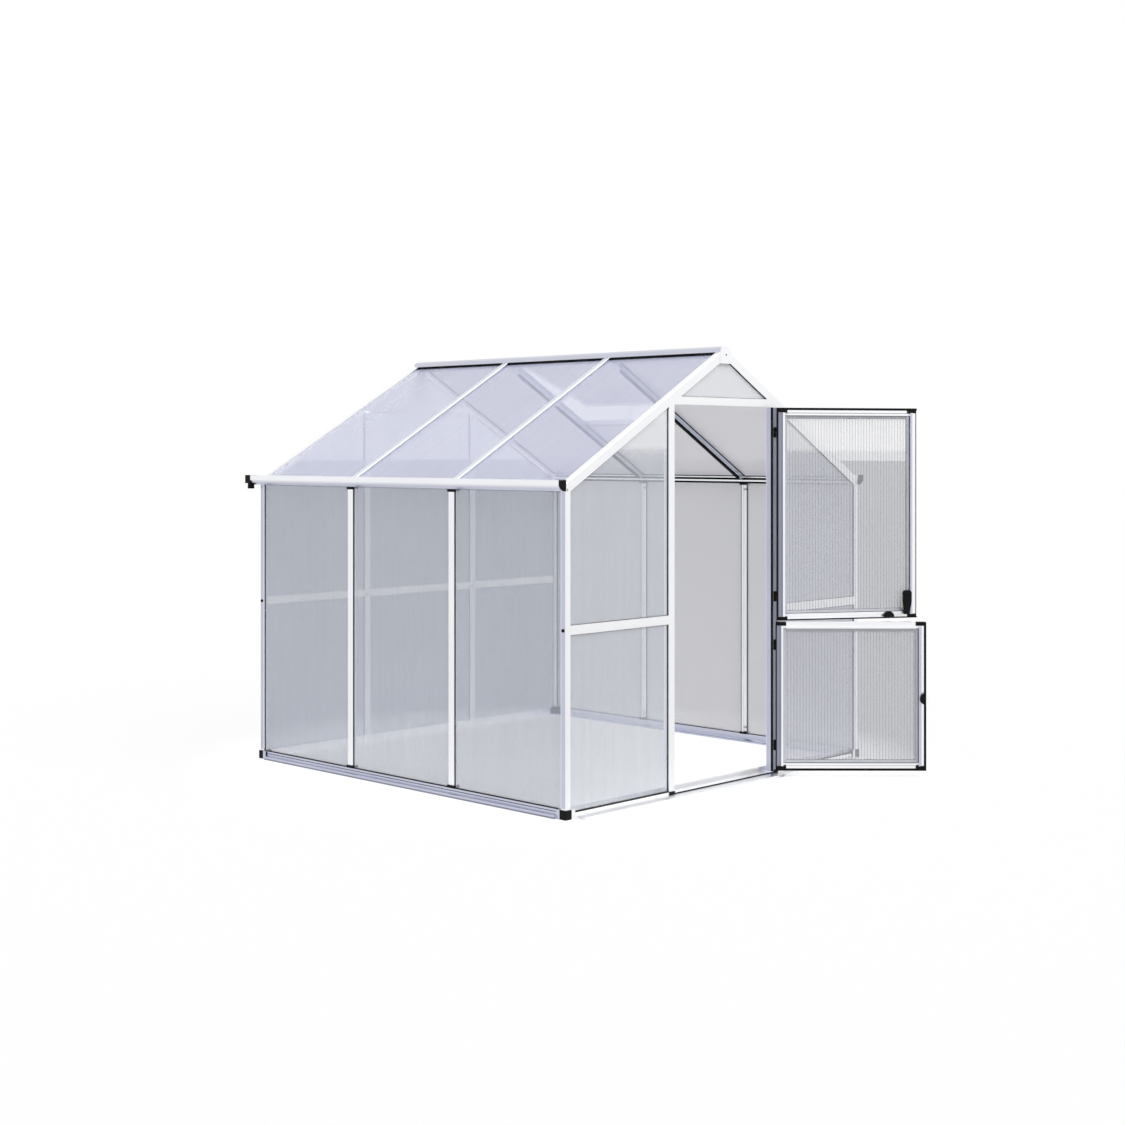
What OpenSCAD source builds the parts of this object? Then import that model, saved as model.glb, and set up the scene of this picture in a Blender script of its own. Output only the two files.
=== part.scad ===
// Hobby greenhouse: aluminium glazing bars, twin-wall sheets, gable roof with a
// propped vent, and a two-leaf stable door in the front gable.
// X runs to the right, Y into the house, Z up. The origin is on the ground under
// the middle of the front wall's outer face.

/* [House] */
// Width over the outer faces of the side walls
house_w = 1900; // [1700:10:2400]
// Length over the outer faces of the gable walls
house_l = 1916; // [1600:10:3000]
// Height of the roof bars' outer plane above the side wall's outer face
eave_h = 1262; // [1200:1:1500]
// Pitch of the roof in degrees
roof_pitch = 30; // [28:1:34]
// Drop from that plane to the underside of the eave beam and the gutter
beam_drop = 29; // [25:1:60]
// Depth of the eave beam, inwards
beam_d = 30; // [26:1:40]
// Depth of the sheet slot under the eave beam
beam_slot_d = 10; // [6:1:10]
// Height of the groove along the eave beam's inner face, above its underside
groove_z = 12; // [8:1:20]
// Width of that groove
groove_w = 4; // [2:1:6]
// Depth of that groove
groove_d = 2; // [1:0.5:4]
// Number of bays along each side
side_bays = 3; // [2:1:5]

/* [Glazing] */
// Thickness of the twin-wall sheets
panel_t = 4; // [3:0.5:6]
// Clearance on each face of a sheet in its slot
panel_fit = 0.3; // [0.2:0.1:0.5]
// Clearance between a sheet's edge and the bottom of its slot
edge_gap = 1; // [0.5:0.5:2]

/* [Bars] */
// Visible width of a glazing bar
bar_w = 32; // [28:1:44]
// Depth of a bar's outer cap, from its face to the sheet slot
cap_t = 8; // [5:0.5:10]
// Thickness of a bar's inner flange
flange_t = 3; // [2:0.5:4]
// Thickness of the web between the two sheet slots
web_t = 6; // [4:1:10]
// Depth of the stiffening rib behind the inner flange
rib_d = 14; // [6:1:20]
// Thickness of the stiffening rib
rib_t = 8; // [4:1:12]
// Width of the lips of a corner post
post_lip = 26; // [22:1:36]
// Height of the gable rafter's front face, square to the slope
rafter_face = 38; // [32:1:48]
// Depth of the sheet slot in rafters, jambs and door bars
slot_d = 12; // [8:1:14]
// Chamfer of the outer edges of the glazing bars
bar_chamfer = 1.5; // [0.5:0.5:3]
// Distance that the roof bars run out past the wall face
roof_over = 4; // [2:1:10]
// Distance that the roof sheets run out past the roof bars
drip_over = 2; // [1:1:8]
// Height of the black caps on the studs' ends
stud_cap_h = 12; // [8:1:24]
// Distance that those caps reach past each edge of a stud
stud_cap_over = 6; // [2:1:10]
// Distance that those caps stand out from the wall face
stud_cap_proud = 3; // [1:0.5:6]
// Chamfer of those caps' outer edges
stud_cap_chamfer = 2; // [1:0.5:3]
// Radius of the rounded outer edge of posts and rafters
edge_r = 3; // [1:0.5:4]
// Height of the mid rails
rail_h = 36; // [28:1:50]
// Height of the middle of the mid rails
rail_z = 710; // [500:5:900]

/* [Base] */
// Height of the side and back base rails
base_h = 36; // [30:1:60]
// Distance that the rails' ledge stands out from the wall
ledge_d = 14; // [6:1:25]
// Height of the lip at the front of the ledge
ledge_h = 14; // [8:1:18]
// Rise of the sloped shoulders above the ledge and the foot
shoulder = 4; // [2:1:6]
// Depth of a base rail inside the wall
foot_d = 45; // [43:1:70]
// Thickness of the rails' inner foot
foot_t = 6; // [3:1:10]
// Distance that the corner caps reach along the walls past the rails' depth
corner_lap = 1; // [0.5:0.5:20]
// Distance that the corner caps stand out from the walls
corner_proud = 5; // [2:1:8]
// Wall of the corner caps inside the sheet slots
corner_wall = 8; // [4:1:12]
// Distance that the front sill stands out from the wall
sill_d = 62; // [40:1:90]
// Thickness of the front sill
sill_t = 12; // [8:1:16]
// Height of the sill's nose below its sloped edge
nose_h = 4; // [2:1:6]
// Depth of the sill's sloped edge
nose_d = 6; // [3:1:12]
// Height of the front sheets' seat above the sill
sill_seat = 4; // [2:1:8]
// Height of the lips that hold the front sheets
front_lip_h = 26; // [22:1:32]
// Height of the door stop at the back of the sill
stop_h = 37; // [30:1:45]
// Thickness of the door stop
stop_t = 3; // [2:0.5:5]

/* [Gutter] */
// Distance that the gutters stand out from the walls
gutter_d = 38; // [30:1:60]
// Height of the gutters
gutter_h = 43; // [34:1:60]
// Depth of the gutters' flat floor
gutter_floor_d = 14; // [8:1:20]
// Depth of the gutters at the bend of their sloped front
gutter_bend_d = 30; // [24:1:30]
// Height of that bend
gutter_bend_h = 9; // [6:1:12]
// Height of the fold from the sloped to the upright front
gutter_fold_h = 21.5; // [16:0.5:26]
// Drop from the eave beam's outer edge to the gutter's back edge
gutter_back_drop = 1.5; // [0.5:0.5:4]
// Wall of the gutters
gutter_t = 3; // [2:0.5:4]
// Distance that the gutters run on behind the back wall
gutter_over = 25; // [10:1:60]
// Thickness of the plain gutter ends
gutter_cap_t = 4; // [2:0.5:8]
// Length of the outlet boxes on the back ends of the gutters
outlet_l = 40; // [30:1:60]
// Height of the outlet boxes' floor above the gutter's underside
outlet_rise = 6; // [4:1:12]
// Bore radius of the outlet spouts
spout_r = 12; // [8:1:14]
// Length of the outlet spouts
spout_l = 24; // [10:1:60]

/* [Ridge] */
// Width of the ridge beam
ridge_w = 56; // [48:1:80]
// Height that the ridge stands above the meeting line of the roof planes
ridge_rise = 7.5; // [4:0.5:14]
// Width of the sloped shoulders of the ridge's top
ridge_shoulder_w = 8; // [4:1:14]
// Drop from the ridge's top to the upper edge of its shoulders
ridge_crown = 2; // [1:0.5:4]
// Drop from the ridge's top to the lower edge of its shoulders
ridge_shoulder_h = 9; // [6:0.5:12]
// Half width of the ridge's middle between the two sheet slots
ridge_core = 12; // [8:1:14]
// Depth of the rib under the ridge
ridge_rib_d = 22; // [10:1:40]
// Thickness of the plates on the ridge's ends
end_plate_t = 4; // [2:0.5:8]
// Distance that those plates reach past each edge of the ridge
end_plate_over = 8; // [4:1:20]
// Radius of the screw hole in those plates
end_hole_r = 4; // [2:0.5:6]

/* [Vent] */
// Distance down the slope from the ridge line to the vent's lower edge
vent_s = 550; // [400:10:700]
// Angle that the vent is propped open
vent_angle = 8; // [4:1:14]
// Width of the vent's frame bars
vent_bar_w = 26; // [20:1:36]
// Play between the vent and the middle lines of its roof bars
vent_side = 5; // [2:1:12]
// Width of the trimmer bar below the vent
trimmer_w = 26; // [20:1:36]
// Clearance of the vent's hinge edge over the roof plane
vent_seat = 0.2; // [0.1:0.1:1]
// Clearance of the vent's hinge edge from the ridge
vent_hinge_gap = 1; // [0.5:0.5:4]
// Distance that the vent's stay hangs below the roof plane
stay_low = 36; // [20:1:60]
// Width of the stay
stay_w = 14; // [10:1:20]
// Thickness of the stay
stay_t = 3; // [2:0.5:4]
// Radius of the stay's holes and of its peg
stay_peg_r = 2.5; // [1.5:0.5:4]
// Pitch of the stay's holes
stay_pitch = 16; // [12:1:24]
// Distance of the first hole from the stay's top
stay_hole_top = 12; // [8:1:20]
// Height above the roof plane of the lowest place for a hole
stay_hole_low = 8; // [6:1:14]

/* [Door] */
// Clear width of the doorway
door_clear = 646; // [560:2:720]
// Drop from the meeting line of the roof planes to the door header's underside
header_drop = 238.5; // [236:0.5:330]
// Height of the door header
header_h = 32; // [30:1:48]
// Width of the door jambs
jamb_w = 34; // [32:1:50]
// Depth of the door jambs
jamb_d = 38; // [34:1:40]
// Running gap round the leaves
leaf_gap = 5; // [5:0.5:8]
// Gap between the upper and the lower leaf
split_gap = 6; // [5:0.5:10]
// Height of the top of the lower leaf
split_z = 659; // [500:1:900]
// Height of the underside of the lower leaf
leaf_under = 29; // [20:1:34]
// Thickness of the leaves
leaf_t = 26; // [22:1:28]
// Width of the leaves' frame bars
leaf_bar = 40; // [34:1:56]
// Depth of the leaves' inner recess, beside the beads
bead_h = 6; // [3:1:8]
// Width of the beads round the leaves' sheets
bead_w = 9; // [6:1:12]
// Thickness of the leaves' edge seals
seal_t = 3; // [2:0.5:4]
// Distance of the edge seals from the leaves' outer face
seal_in = 5; // [2:1:8]
// Width of the edge seals
seal_w = 13; // [8:1:14]
// Height of the leaves' corner blocks
leaf_corner_h = 16; // [10:1:24]
// Opening angle of the upper leaf as it stands
upper_leaf_angle = 147.5; // [0:0.5:170]
// Opening angle of the lower leaf as it stands
lower_leaf_angle = 134; // [0:0.5:170]

/* [Hinges and latches] */
// Distance of the hinge axis in front of the wall face
hinge_y = 11; // [9:0.5:14]
// Radius of the hinge knuckles
knuckle_r = 6; // [5:0.5:8]
// Radius of the hinge pins
pin_r = 3; // [2:0.5:4]
// Clearance round the hinge pins
pin_fit = 0.1; // [0.05:0.05:0.1]
// Distance of the hinge axis from the jamb's face
hinge_in = 3.5; // [3:0.5:4]
// Gap between the two halves of a hinge
hinge_gap = 1; // [0.5:0.5:2]
// Distance of a jamb's hinge plate from the jamb's edge
hinge_edge_jamb = 3; // [2:0.5:5]
// Distance of a leaf's hinge plate from its frame's edge
hinge_edge_leaf = 2; // [1:0.5:4]
// Distance that a hinge's arm reaches in front of its axis
arm_front = 2; // [1:0.5:4]
// Half height of a hinge
hinge_half = 22; // [16:1:30]
// Thickness of the hinge plates
hinge_plate_t = 4; // [2:0.5:5]
// Width of the hinge plates
hinge_plate_w = 26; // [18:1:28]
// Distance of the outer hinges from a leaf's ends
hinge_inset = 100; // [60:5:160]
// Length of the lever
lever_l = 104; // [80:1:140]
// Width of the lever at its round end
lever_w = 36; // [24:1:40]
// Width of the lever at its foot end
lever_neck = 18; // [12:1:30]
// Width of the lever's foot
lever_foot_w = 25; // [16:1:30]
// Height of the lever's foot along the stile
lever_foot_l = 29; // [20:1:40]
// Thickness of the lever
lever_t = 10; // [6:1:14]
// Height of the lever's foot above the leaf
lever_foot_t = 8; // [4:1:12]
// Distance of the lever's middle from the leaf's free edge
lever_x = 34; // [30:1:50]
// Radius of the turn buttons
button_r = 24; // [16:1:30]
// Thickness of the turn buttons
button_t = 10; // [6:1:14]
// Height of the upper leaf's turn button above its frame's lower edge
button_z = 6; // [2:1:12]
// Distance of the upper leaf's turn button from its free edge
button_x = 130; // [90:5:300]

/* [Hidden] */
$fn = 48;

alu = [0.90, 0.90, 0.91];
black = [0.05, 0.05, 0.05];
sheet = [0.75, 0.78, 0.80, 0.6];

far = 6000;
cut = 1;
beam_under = eave_h - beam_drop;
stud_cap_w = bar_w + 2 * stud_cap_over;
corner_reach = foot_d + corner_lap;
half_w = house_w / 2;
slot_w = panel_t + 2 * panel_fit;
slot_q = cap_t + slot_w;
core_q = slot_q + flange_t;
panel_q = cap_t + panel_fit;
bar_half = bar_w / 2;
web_half = web_t / 2;

apex_z = eave_h + half_w * tan(roof_pitch);
header_z = apex_z - header_drop;
ridge_top = apex_z + ridge_rise;
ridge_half = ridge_w / 2;
rafter_core = rafter_face - slot_d;
gable_edge = rafter_core + edge_gap;

jamb_in = door_clear / 2;
jamb_out = jamb_in + jamb_w;
post_x = jamb_in + jamb_w / 2;
frame_w = door_clear - 2 * leaf_gap - 2 * seal_t;
frame_half = frame_w / 2;
lower_z0 = leaf_under + seal_t;
upper_z0 = split_z + split_gap;
upper_z1 = header_z - leaf_gap - seal_t;
hinge_x = jamb_in - hinge_in;
upper_hinges = [upper_z0 + hinge_inset, upper_z1 - hinge_inset];
lower_hinges = [lower_z0 + hinge_inset, split_z - hinge_inset];
leaf_slot = leaf_bar - slot_d;
leaf_recess = leaf_t - bead_h;

bay_l = house_l / side_bays;
vent_bay = floor(side_bays / 2);
vent_y0 = vent_bay * bay_l;
vent_y1 = vent_y0 + bay_l;
vent_hinge_s = (ridge_half + vent_seat) / cos(roof_pitch) + vent_hinge_gap;
vent_t = 2 * flange_t + slot_w;
vent_l = vent_s - vent_hinge_s;
vent_a = vent_y0 + vent_side;
vent_b = vent_y1 - vent_side;
stay_s = vent_hinge_s + vent_l * cos(vent_angle) - vent_bar_w / 2;
stay_top = vent_seat + (stay_s - vent_hinge_s) * tan(vent_angle) - panel_fit;

roof_s0 = (ridge_core + edge_gap + slot_q * sin(roof_pitch)) / cos(roof_pitch);
roof_s1 = (half_w + roof_over + drip_over + slot_q * sin(roof_pitch)) / cos(roof_pitch);
sill_slot_z = sill_t + sill_seat;
base_slot_z = base_h - slot_d;

// Height of the plane that lies n above the roof bars' outer plane, at x from the middle
function roof_z(x, n) = apex_z - x * tan(roof_pitch) + n / cos(roof_pitch);
// Distance from the middle at which that plane has height z
function roof_x(z, n) = (apex_z + n / cos(roof_pitch) - z) / tan(roof_pitch);

module both_sides() {
    children();
    mirror([1, 0, 0]) children();
}

module at_back() {
    translate([0, house_l, 0]) mirror([0, 1, 0]) children();
}

// Sections drawn as (x, z) and run along Y
module along_y(y0, y1) {
    translate([0, y1, 0]) rotate([90, 0, 0]) linear_extrude(y1 - y0) children();
}

// Sections drawn as (y, z) and run along X
module along_x(x0, x1) {
    translate([x0, 0, 0]) rotate([90, 0, 90]) linear_extrude(x1 - x0) children();
}

module along_z(z0, z1) {
    translate([0, 0, z0]) linear_extrude(z1 - z0) children();
}

// Turns a section's depth and width over
module swapped() {
    mirror([1, -1, 0]) children();
}

module rect(x0, x1, y0, y1) {
    translate([x0, y0]) square([x1 - x0, y1 - y0]);
}

module box(x0, x1, y0, y1, z0, z1) {
    translate([x0, y0, z0]) cube([x1 - x0, y1 - y0, z1 - z0]);
}

// Right roof slope: x down the slope from the meeting line, z square to it
module on_slope() {
    translate([0, 0, apex_z]) rotate([0, roof_pitch, 0]) children();
}

// Everything more than n above the right slope's outer plane
module above_slope(n) {
    on_slope() box(-far, far, -far, far, n, far);
}

// Everything less than n above the right slope's outer plane
module below_slope(n) {
    on_slope() box(-far, far, -far, far, -far, n);
}

// Cap of a glazing bar: x into the house from the outer face, y across the bar
module bar_cap(w) {
    h = w / 2;
    c = bar_chamfer;
    polygon([[0, c - h], [c, -h], [cap_t, -h], [cap_t, h], [c, h], [0, h - c]]);
}

// Web, inner flange and rib of a glazing bar
module bar_back(w, rib) {
    rect(cap_t, slot_q, -web_half, web_half);
    rect(slot_q, core_q, -w / 2, w / 2);
    if (rib > 0) rect(core_q, core_q + rib, -rib_t / 2, rib_t / 2);
}

module bar_section(w, rib) {
    bar_cap(w);
    bar_back(w, rib);
}

// Section with a slot for a sheet on each of two faces that meet at a corner
module corner_section(lip_u, core_u, lip_v, core_v) {
    difference() {
        union() {
            rect(0, lip_u, 0, core_q);
            rect(0, core_q, 0, lip_v);
        }
        rect(core_u, lip_u + cut, cap_t, slot_q);
        rect(cap_t, slot_q, core_v, lip_v + cut);
        difference() {
            rect(-cut, edge_r, -cut, edge_r);
            translate([edge_r, edge_r]) circle(edge_r);
        }
    }
}

// Section with a slot on one edge: x into the house, y from the plain edge
module edge_section(w, depth) {
    rect(0, depth, 0, w - slot_d);
    rect(0, cap_t, w - slot_d, w);
    rect(slot_q, core_q, w - slot_d, w);
}

// Lips that hold the lower edge of a row of sheets
module sill_lips(z0, z1, slot_z) {
    rect(0, cap_t, z0, z1);
    rect(slot_q, core_q, z0, z1);
    rect(cap_t, slot_q, z0, slot_z);
}

module rail_section() {
    difference() {
        polygon([[-ledge_d, 0], [-ledge_d, ledge_h], [0, ledge_h + shoulder], [0, base_h],
                 [core_q, base_h], [core_q, foot_t + shoulder], [core_q + shoulder, foot_t],
                 [foot_d, foot_t], [foot_d, 0]]);
        rect(cap_t, slot_q, base_slot_z, base_h + cut);
    }
}

module base_rail_back() {
    color(alu) at_back() along_x(corner_reach - half_w, half_w - corner_reach) rail_section();
}

module base_rails_side() {
    color(alu) both_sides() translate([-half_w, 0, 0])
        along_y(corner_reach, house_l - corner_reach) rail_section();
}

module base_rail_front() {
    color(alu) {
        along_x(corner_reach - half_w, half_w - corner_reach) {
            polygon([[-sill_d, 0], [-sill_d, nose_h], [nose_d - sill_d, sill_t],
                     [foot_d, sill_t], [foot_d, 0]]);
            rect(jamb_d, jamb_d + stop_t, sill_t, stop_h);
        }
        both_sides() along_x(jamb_out, half_w - corner_reach)
            sill_lips(sill_t, front_lip_h, sill_slot_z);
    }
}

// One corner cap; front_slot is the height of the slot for the gable's sheet
module corner_cap(front_slot) {
    inner = core_q + corner_wall;
    difference() {
        box(-corner_proud, corner_reach, -corner_proud, corner_reach, 0, base_h);
        box(core_q, corner_reach + cut, cap_t, slot_q, front_slot, base_h + cut);
        box(cap_t, slot_q, core_q, corner_reach + cut, base_slot_z, base_h + cut);
        box(inner, corner_reach + cut, inner, corner_reach + cut, foot_t, base_h + cut);
    }
}

module base_corner_caps() {
    color(black) both_sides() {
        translate([-half_w, 0, 0]) corner_cap(sill_slot_z);
        at_back() translate([-half_w, 0, 0]) corner_cap(base_slot_z);
    }
}

module corner_post() {
    translate([-half_w, 0, 0]) along_z(base_h, beam_under)
        corner_section(post_lip, core_q, post_lip, core_q);
}

module corner_posts() {
    color(alu) both_sides() {
        corner_post();
        at_back() corner_post();
    }
}

module side_wall_studs() {
    color(alu) both_sides() for (i = [1 : side_bays - 1]) translate([-half_w, i * bay_l, 0]) {
        along_z(base_h + stud_cap_h, beam_under - stud_cap_h) bar_cap(bar_w);
        along_z(base_h, beam_under) bar_back(bar_w, rib_d);
    }
}

// Black cap on a bar's end: x into the house, y across
module end_cap(w, z0, z1) {
    h = w / 2;
    c = stud_cap_chamfer;
    p = stud_cap_proud;
    along_z(z0, z1)
        polygon([[-p, c - h], [c - p, -h], [cap_t, -h], [cap_t, h], [c - p, h], [-p, h - c]]);
}

module post_end_caps() {
    color(black) both_sides() {
        for (i = [1 : side_bays - 1]) translate([-half_w, i * bay_l, 0]) {
            end_cap(stud_cap_w, base_h, base_h + stud_cap_h);
            end_cap(stud_cap_w, beam_under - stud_cap_h, beam_under);
        }
        box(jamb_in, jamb_out, -stud_cap_proud, 0, sill_t, sill_t + stud_cap_h);
    }
}

// Eave beam: slot for the wall's sheets below, seat for the roof's sheets above
module beam_section() {
    difference() {
        polygon([[0, beam_under], [beam_d, beam_under], [beam_d, roof_z(half_w - beam_d, -slot_q)],
                 [0, roof_z(half_w, -slot_q)]]);
        rect(cap_t, slot_q, beam_under - cut, beam_under + beam_slot_d);
        translate([beam_d - groove_d, beam_under + groove_z]) square([groove_d + cut, groove_w]);
    }
}

module eave_beams() {
    color(alu) both_sides() translate([-half_w, 0, 0]) along_y(0, house_l) beam_section();
}

function unit(v) = v / norm(v);
// Shift of the corner between two gutter walls, with inward normals a and b, to their inside
function mitre(a, b) = gutter_t * (a + b) / (1 + a * b);

module gutter_outline() {
    polygon([[0, 0], [-gutter_floor_d, 0], [-gutter_bend_d, gutter_bend_h],
             [-gutter_d, gutter_fold_h], [-gutter_d, gutter_h], [0, gutter_h]]);
}

module gutter_section() {
    back = roof_z(half_w, -slot_q) - beam_under - gutter_back_drop;
    floor_n = [0, 1];
    low_n = unit([gutter_bend_h, gutter_bend_d - gutter_floor_d]);
    high_n = unit([gutter_fold_h - gutter_bend_h, gutter_d - gutter_bend_d]);
    front_n = [1, 0];
    difference() {
        gutter_outline();
        polygon([[-gutter_t, gutter_t], [-gutter_floor_d, 0] + mitre(floor_n, low_n),
                 [-gutter_bend_d, gutter_bend_h] + mitre(low_n, high_n),
                 [-gutter_d, gutter_fold_h] + mitre(high_n, front_n),
                 [gutter_t - gutter_d, gutter_h + cut], [-gutter_t, gutter_h + cut]]);
        rect(-gutter_t - cut, cut, back, gutter_h + cut);
    }
}

module gutters() {
    color(alu) both_sides() translate([-half_w, 0, beam_under])
        along_y(0, house_l + gutter_over) gutter_section();
}

module gutter_outlet() {
    y0 = house_l + gutter_over;
    ym = y0 + outlet_l / 2;
    xm = -gutter_d / 2;
    difference() {
        union() {
            along_y(y0, y0 + outlet_l) rect(-gutter_d, 0, outlet_rise, gutter_h);
            translate([xm, ym, outlet_rise - spout_l]) cylinder(h = spout_l, r = spout_r + gutter_t);
        }
        translate([xm, ym, -spout_l]) cylinder(h = spout_l + gutter_h / 2, r = spout_r);
    }
}

module gutter_end_caps() {
    color(black) both_sides() translate([-half_w, 0, beam_under]) {
        along_y(-gutter_cap_t, 0) gutter_outline();
        gutter_outlet();
    }
}

// Half of the ridge's section, from the middle to the right
module ridge_half_section() {
    polygon([[0, ridge_top], [ridge_half - ridge_shoulder_w, ridge_top - ridge_crown],
             [ridge_half, ridge_top - ridge_shoulder_h],
             [ridge_half, roof_z(ridge_half, -cap_t)], [0, roof_z(0, -cap_t)]]);
    polygon([[0, roof_z(0, -cap_t) + cut], [ridge_core, roof_z(ridge_core, -cap_t)],
             [ridge_core, roof_z(ridge_core, -slot_q)], [0, roof_z(0, -slot_q) - cut]]);
    polygon([[0, roof_z(0, -slot_q)], [ridge_half, roof_z(ridge_half, -slot_q)],
             [ridge_half, roof_z(ridge_half, -core_q)], [0, roof_z(0, -core_q)]]);
}

module ridge_beam() {
    rib_z = roof_z(0, -core_q);
    color(alu) {
        along_y(0, house_l) both_sides() ridge_half_section();
        along_y(core_q + edge_gap, house_l - core_q - edge_gap)
            rect(-rib_t / 2, rib_t / 2, rib_z - ridge_rib_d, rib_z + cut);
    }
}

module ridge_end_plate() {
    edge = ridge_half + end_plate_over;
    low = roof_z(edge, -rafter_face);
    along_y(-end_plate_t, 0) difference() {
        both_sides() polygon([[0, low], [edge, low], [edge, roof_z(edge, 0)],
            [ridge_half, ridge_top - ridge_shoulder_h],
            [ridge_half - ridge_shoulder_w, ridge_top - ridge_crown], [0, ridge_top]]);
        translate([0, (ridge_top + low) / 2]) circle(r = end_hole_r);
    }
}

module ridge_end_plates() {
    color(alu) {
        ridge_end_plate();
        at_back() ridge_end_plate();
    }
}

// Runs a section down the right slope from the ridge, and notches it over the eave beam
module slope_run(y) {
    difference() {
        intersection() {
            on_slope() translate([0, y, 0]) rotate([0, 90, 0]) linear_extrude(far) children();
            box(ridge_half, half_w + roof_over, -far, far, 0, far);
        }
        intersection() {
            below_slope(-slot_q);
            box(half_w - beam_d, far, -far, far, 0, far);
        }
    }
}

module gable_rafter() {
    slope_run(0) corner_section(rafter_face, rafter_core, post_lip, core_q);
}

module gable_rafters() {
    color(alu) both_sides() {
        gable_rafter();
        at_back() gable_rafter();
    }
}

module roof_bars() {
    color(alu) both_sides() for (i = [1 : side_bays - 1])
        slope_run(i * bay_l) bar_section(bar_w, rib_d);
}

// Trims a gable member to the underside of the rafters' faces
module under_rafters() {
    difference() {
        children();
        both_sides() above_slope(-rafter_face);
    }
}

module door_jambs() {
    color(alu) both_sides() under_rafters() translate([jamb_in, 0, 0])
        along_z(sill_t, apex_z) swapped() edge_section(jamb_w, jamb_d);
}

module door_header() {
    color(alu) under_rafters() along_x(-jamb_in, jamb_in)
        translate([0, header_z]) edge_section(header_h, beam_d);
}

module front_mid_rails() {
    color(alu) both_sides() along_x(jamb_out, half_w - post_lip)
        translate([0, rail_z]) bar_section(rail_h, 0);
}

module back_posts() {
    color(alu) at_back() both_sides() under_rafters() translate([post_x, 0, 0])
        along_z(base_h, apex_z) swapped() bar_section(bar_w, rib_d);
}

module back_header() {
    color(alu) at_back() under_rafters() along_x(bar_half - post_x, post_x - bar_half)
        translate([0, header_z + header_h / 2]) bar_section(header_h, 0);
}

module back_mid_rails() {
    color(alu) at_back() {
        both_sides() along_x(post_x + bar_half, half_w - post_lip)
            translate([0, rail_z]) bar_section(rail_h, 0);
        along_x(bar_half - post_x, post_x - bar_half)
            translate([0, rail_z]) bar_section(rail_h, 0);
    }
}

// Where a row of sheets along a side starts and ends in bay i
function bay_y0(i) = i == 0 ? core_q + edge_gap : i * bay_l + web_half + edge_gap;
function bay_y1(i) = i == side_bays - 1 ? house_l - core_q - edge_gap
    : (i + 1) * bay_l - web_half - edge_gap;

module side_panels() {
    for (i = [0 : side_bays - 1])
        box(panel_q - half_w, panel_q + panel_t - half_w, bay_y0(i), bay_y1(i),
            base_slot_z + edge_gap, beam_under + beam_slot_d - edge_gap);
}

module left_wall_panels() {
    color(sheet) side_panels();
}

module right_wall_panels() {
    color(sheet) mirror([1, 0, 0]) side_panels();
}

// One roof sheet on the right slope, in bay i, from s0 down the slope
module roof_panel(i, s0) {
    on_slope() box(s0, roof_s1, bay_y0(i), bay_y1(i), -panel_q - panel_t, -panel_q);
}

module left_roof_panels() {
    color(sheet) mirror([1, 0, 0]) for (i = [0 : side_bays - 1]) roof_panel(i, roof_s0);
}

module right_roof_panels() {
    color(sheet) for (i = [0 : side_bays - 1])
        roof_panel(i, i == vent_bay ? vent_s + trimmer_w / 2 + web_half + edge_gap : roof_s0);
}

// Upper sheet of a gable's side bay, from x_in out to the corner post
module gable_side_panel(x_in) {
    x_post = half_w - core_q - edge_gap;
    x_beam = half_w - beam_d - edge_gap;
    z0 = rail_z + web_half + edge_gap;
    z_beam = beam_under - edge_gap;
    along_y(panel_q, panel_q + panel_t)
        polygon([[x_in, z0], [x_post, z0], [x_post, z_beam], [x_beam, z_beam],
                 [x_beam, roof_z(x_beam, -gable_edge)], [x_in, roof_z(x_in, -gable_edge)]]);
}

// Lower sheet of a gable's bay
module gable_low_panel(x0, x1, z0) {
    box(x0, x1, panel_q, panel_q + panel_t, z0, rail_z - web_half - edge_gap);
}

// Sheet over a header, from height z0 up to the ridge
module gable_top_panel(z0) {
    x0 = roof_x(z0, -gable_edge);
    along_y(panel_q, panel_q + panel_t)
        polygon([[-x0, z0], [x0, z0], [0, roof_z(0, -gable_edge)]]);
}

module front_gable_panels() {
    x_jamb = jamb_out - slot_d + edge_gap;
    color(sheet) {
        both_sides() {
            gable_side_panel(x_jamb);
            gable_low_panel(x_jamb, half_w - core_q - edge_gap, sill_slot_z + edge_gap);
        }
        gable_top_panel(header_z + header_h - slot_d + edge_gap);
    }
}

module back_gable_panels() {
    x_out = post_x + web_half + edge_gap;
    x_in = post_x - web_half - edge_gap;
    low = base_slot_z + edge_gap;
    head = header_z + header_h / 2;
    color(sheet) at_back() {
        both_sides() {
            gable_side_panel(x_out);
            gable_low_panel(x_out, half_w - core_q - edge_gap, low);
        }
        gable_low_panel(-x_in, x_in, low);
        box(-x_in, x_in, panel_q, panel_q + panel_t, rail_z + web_half + edge_gap,
            head - web_half - edge_gap);
        gable_top_panel(head + web_half + edge_gap);
    }
}

module vent_trimmer() {
    color(alu) on_slope() translate([vent_s + trimmer_w / 2, vent_y1 - bar_half, 0])
        rotate([90, 0, 0]) linear_extrude(bay_l - bar_w)
            rotate([0, 0, -90]) bar_section(trimmer_w, 0);
}

// The vent's own frame: x down from its hinge line, z square to the vent
module on_vent() {
    on_slope() translate([vent_hinge_s, 0, vent_seat]) rotate([0, -vent_angle, 0]) children();
}

// Channel of a vent bar: x from its outer edge, y up
module vent_channel() {
    difference() {
        rect(0, vent_bar_w, 0, vent_t);
        rect(vent_bar_w - slot_d, vent_bar_w + cut, flange_t, flange_t + slot_w);
    }
}

module vent_frame_sides() {
    color(alu) on_vent() {
        translate([0, vent_a, 0]) along_x(0, vent_l) vent_channel();
        translate([0, vent_b, 0]) mirror([0, 1, 0]) along_x(0, vent_l) vent_channel();
    }
}

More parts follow.
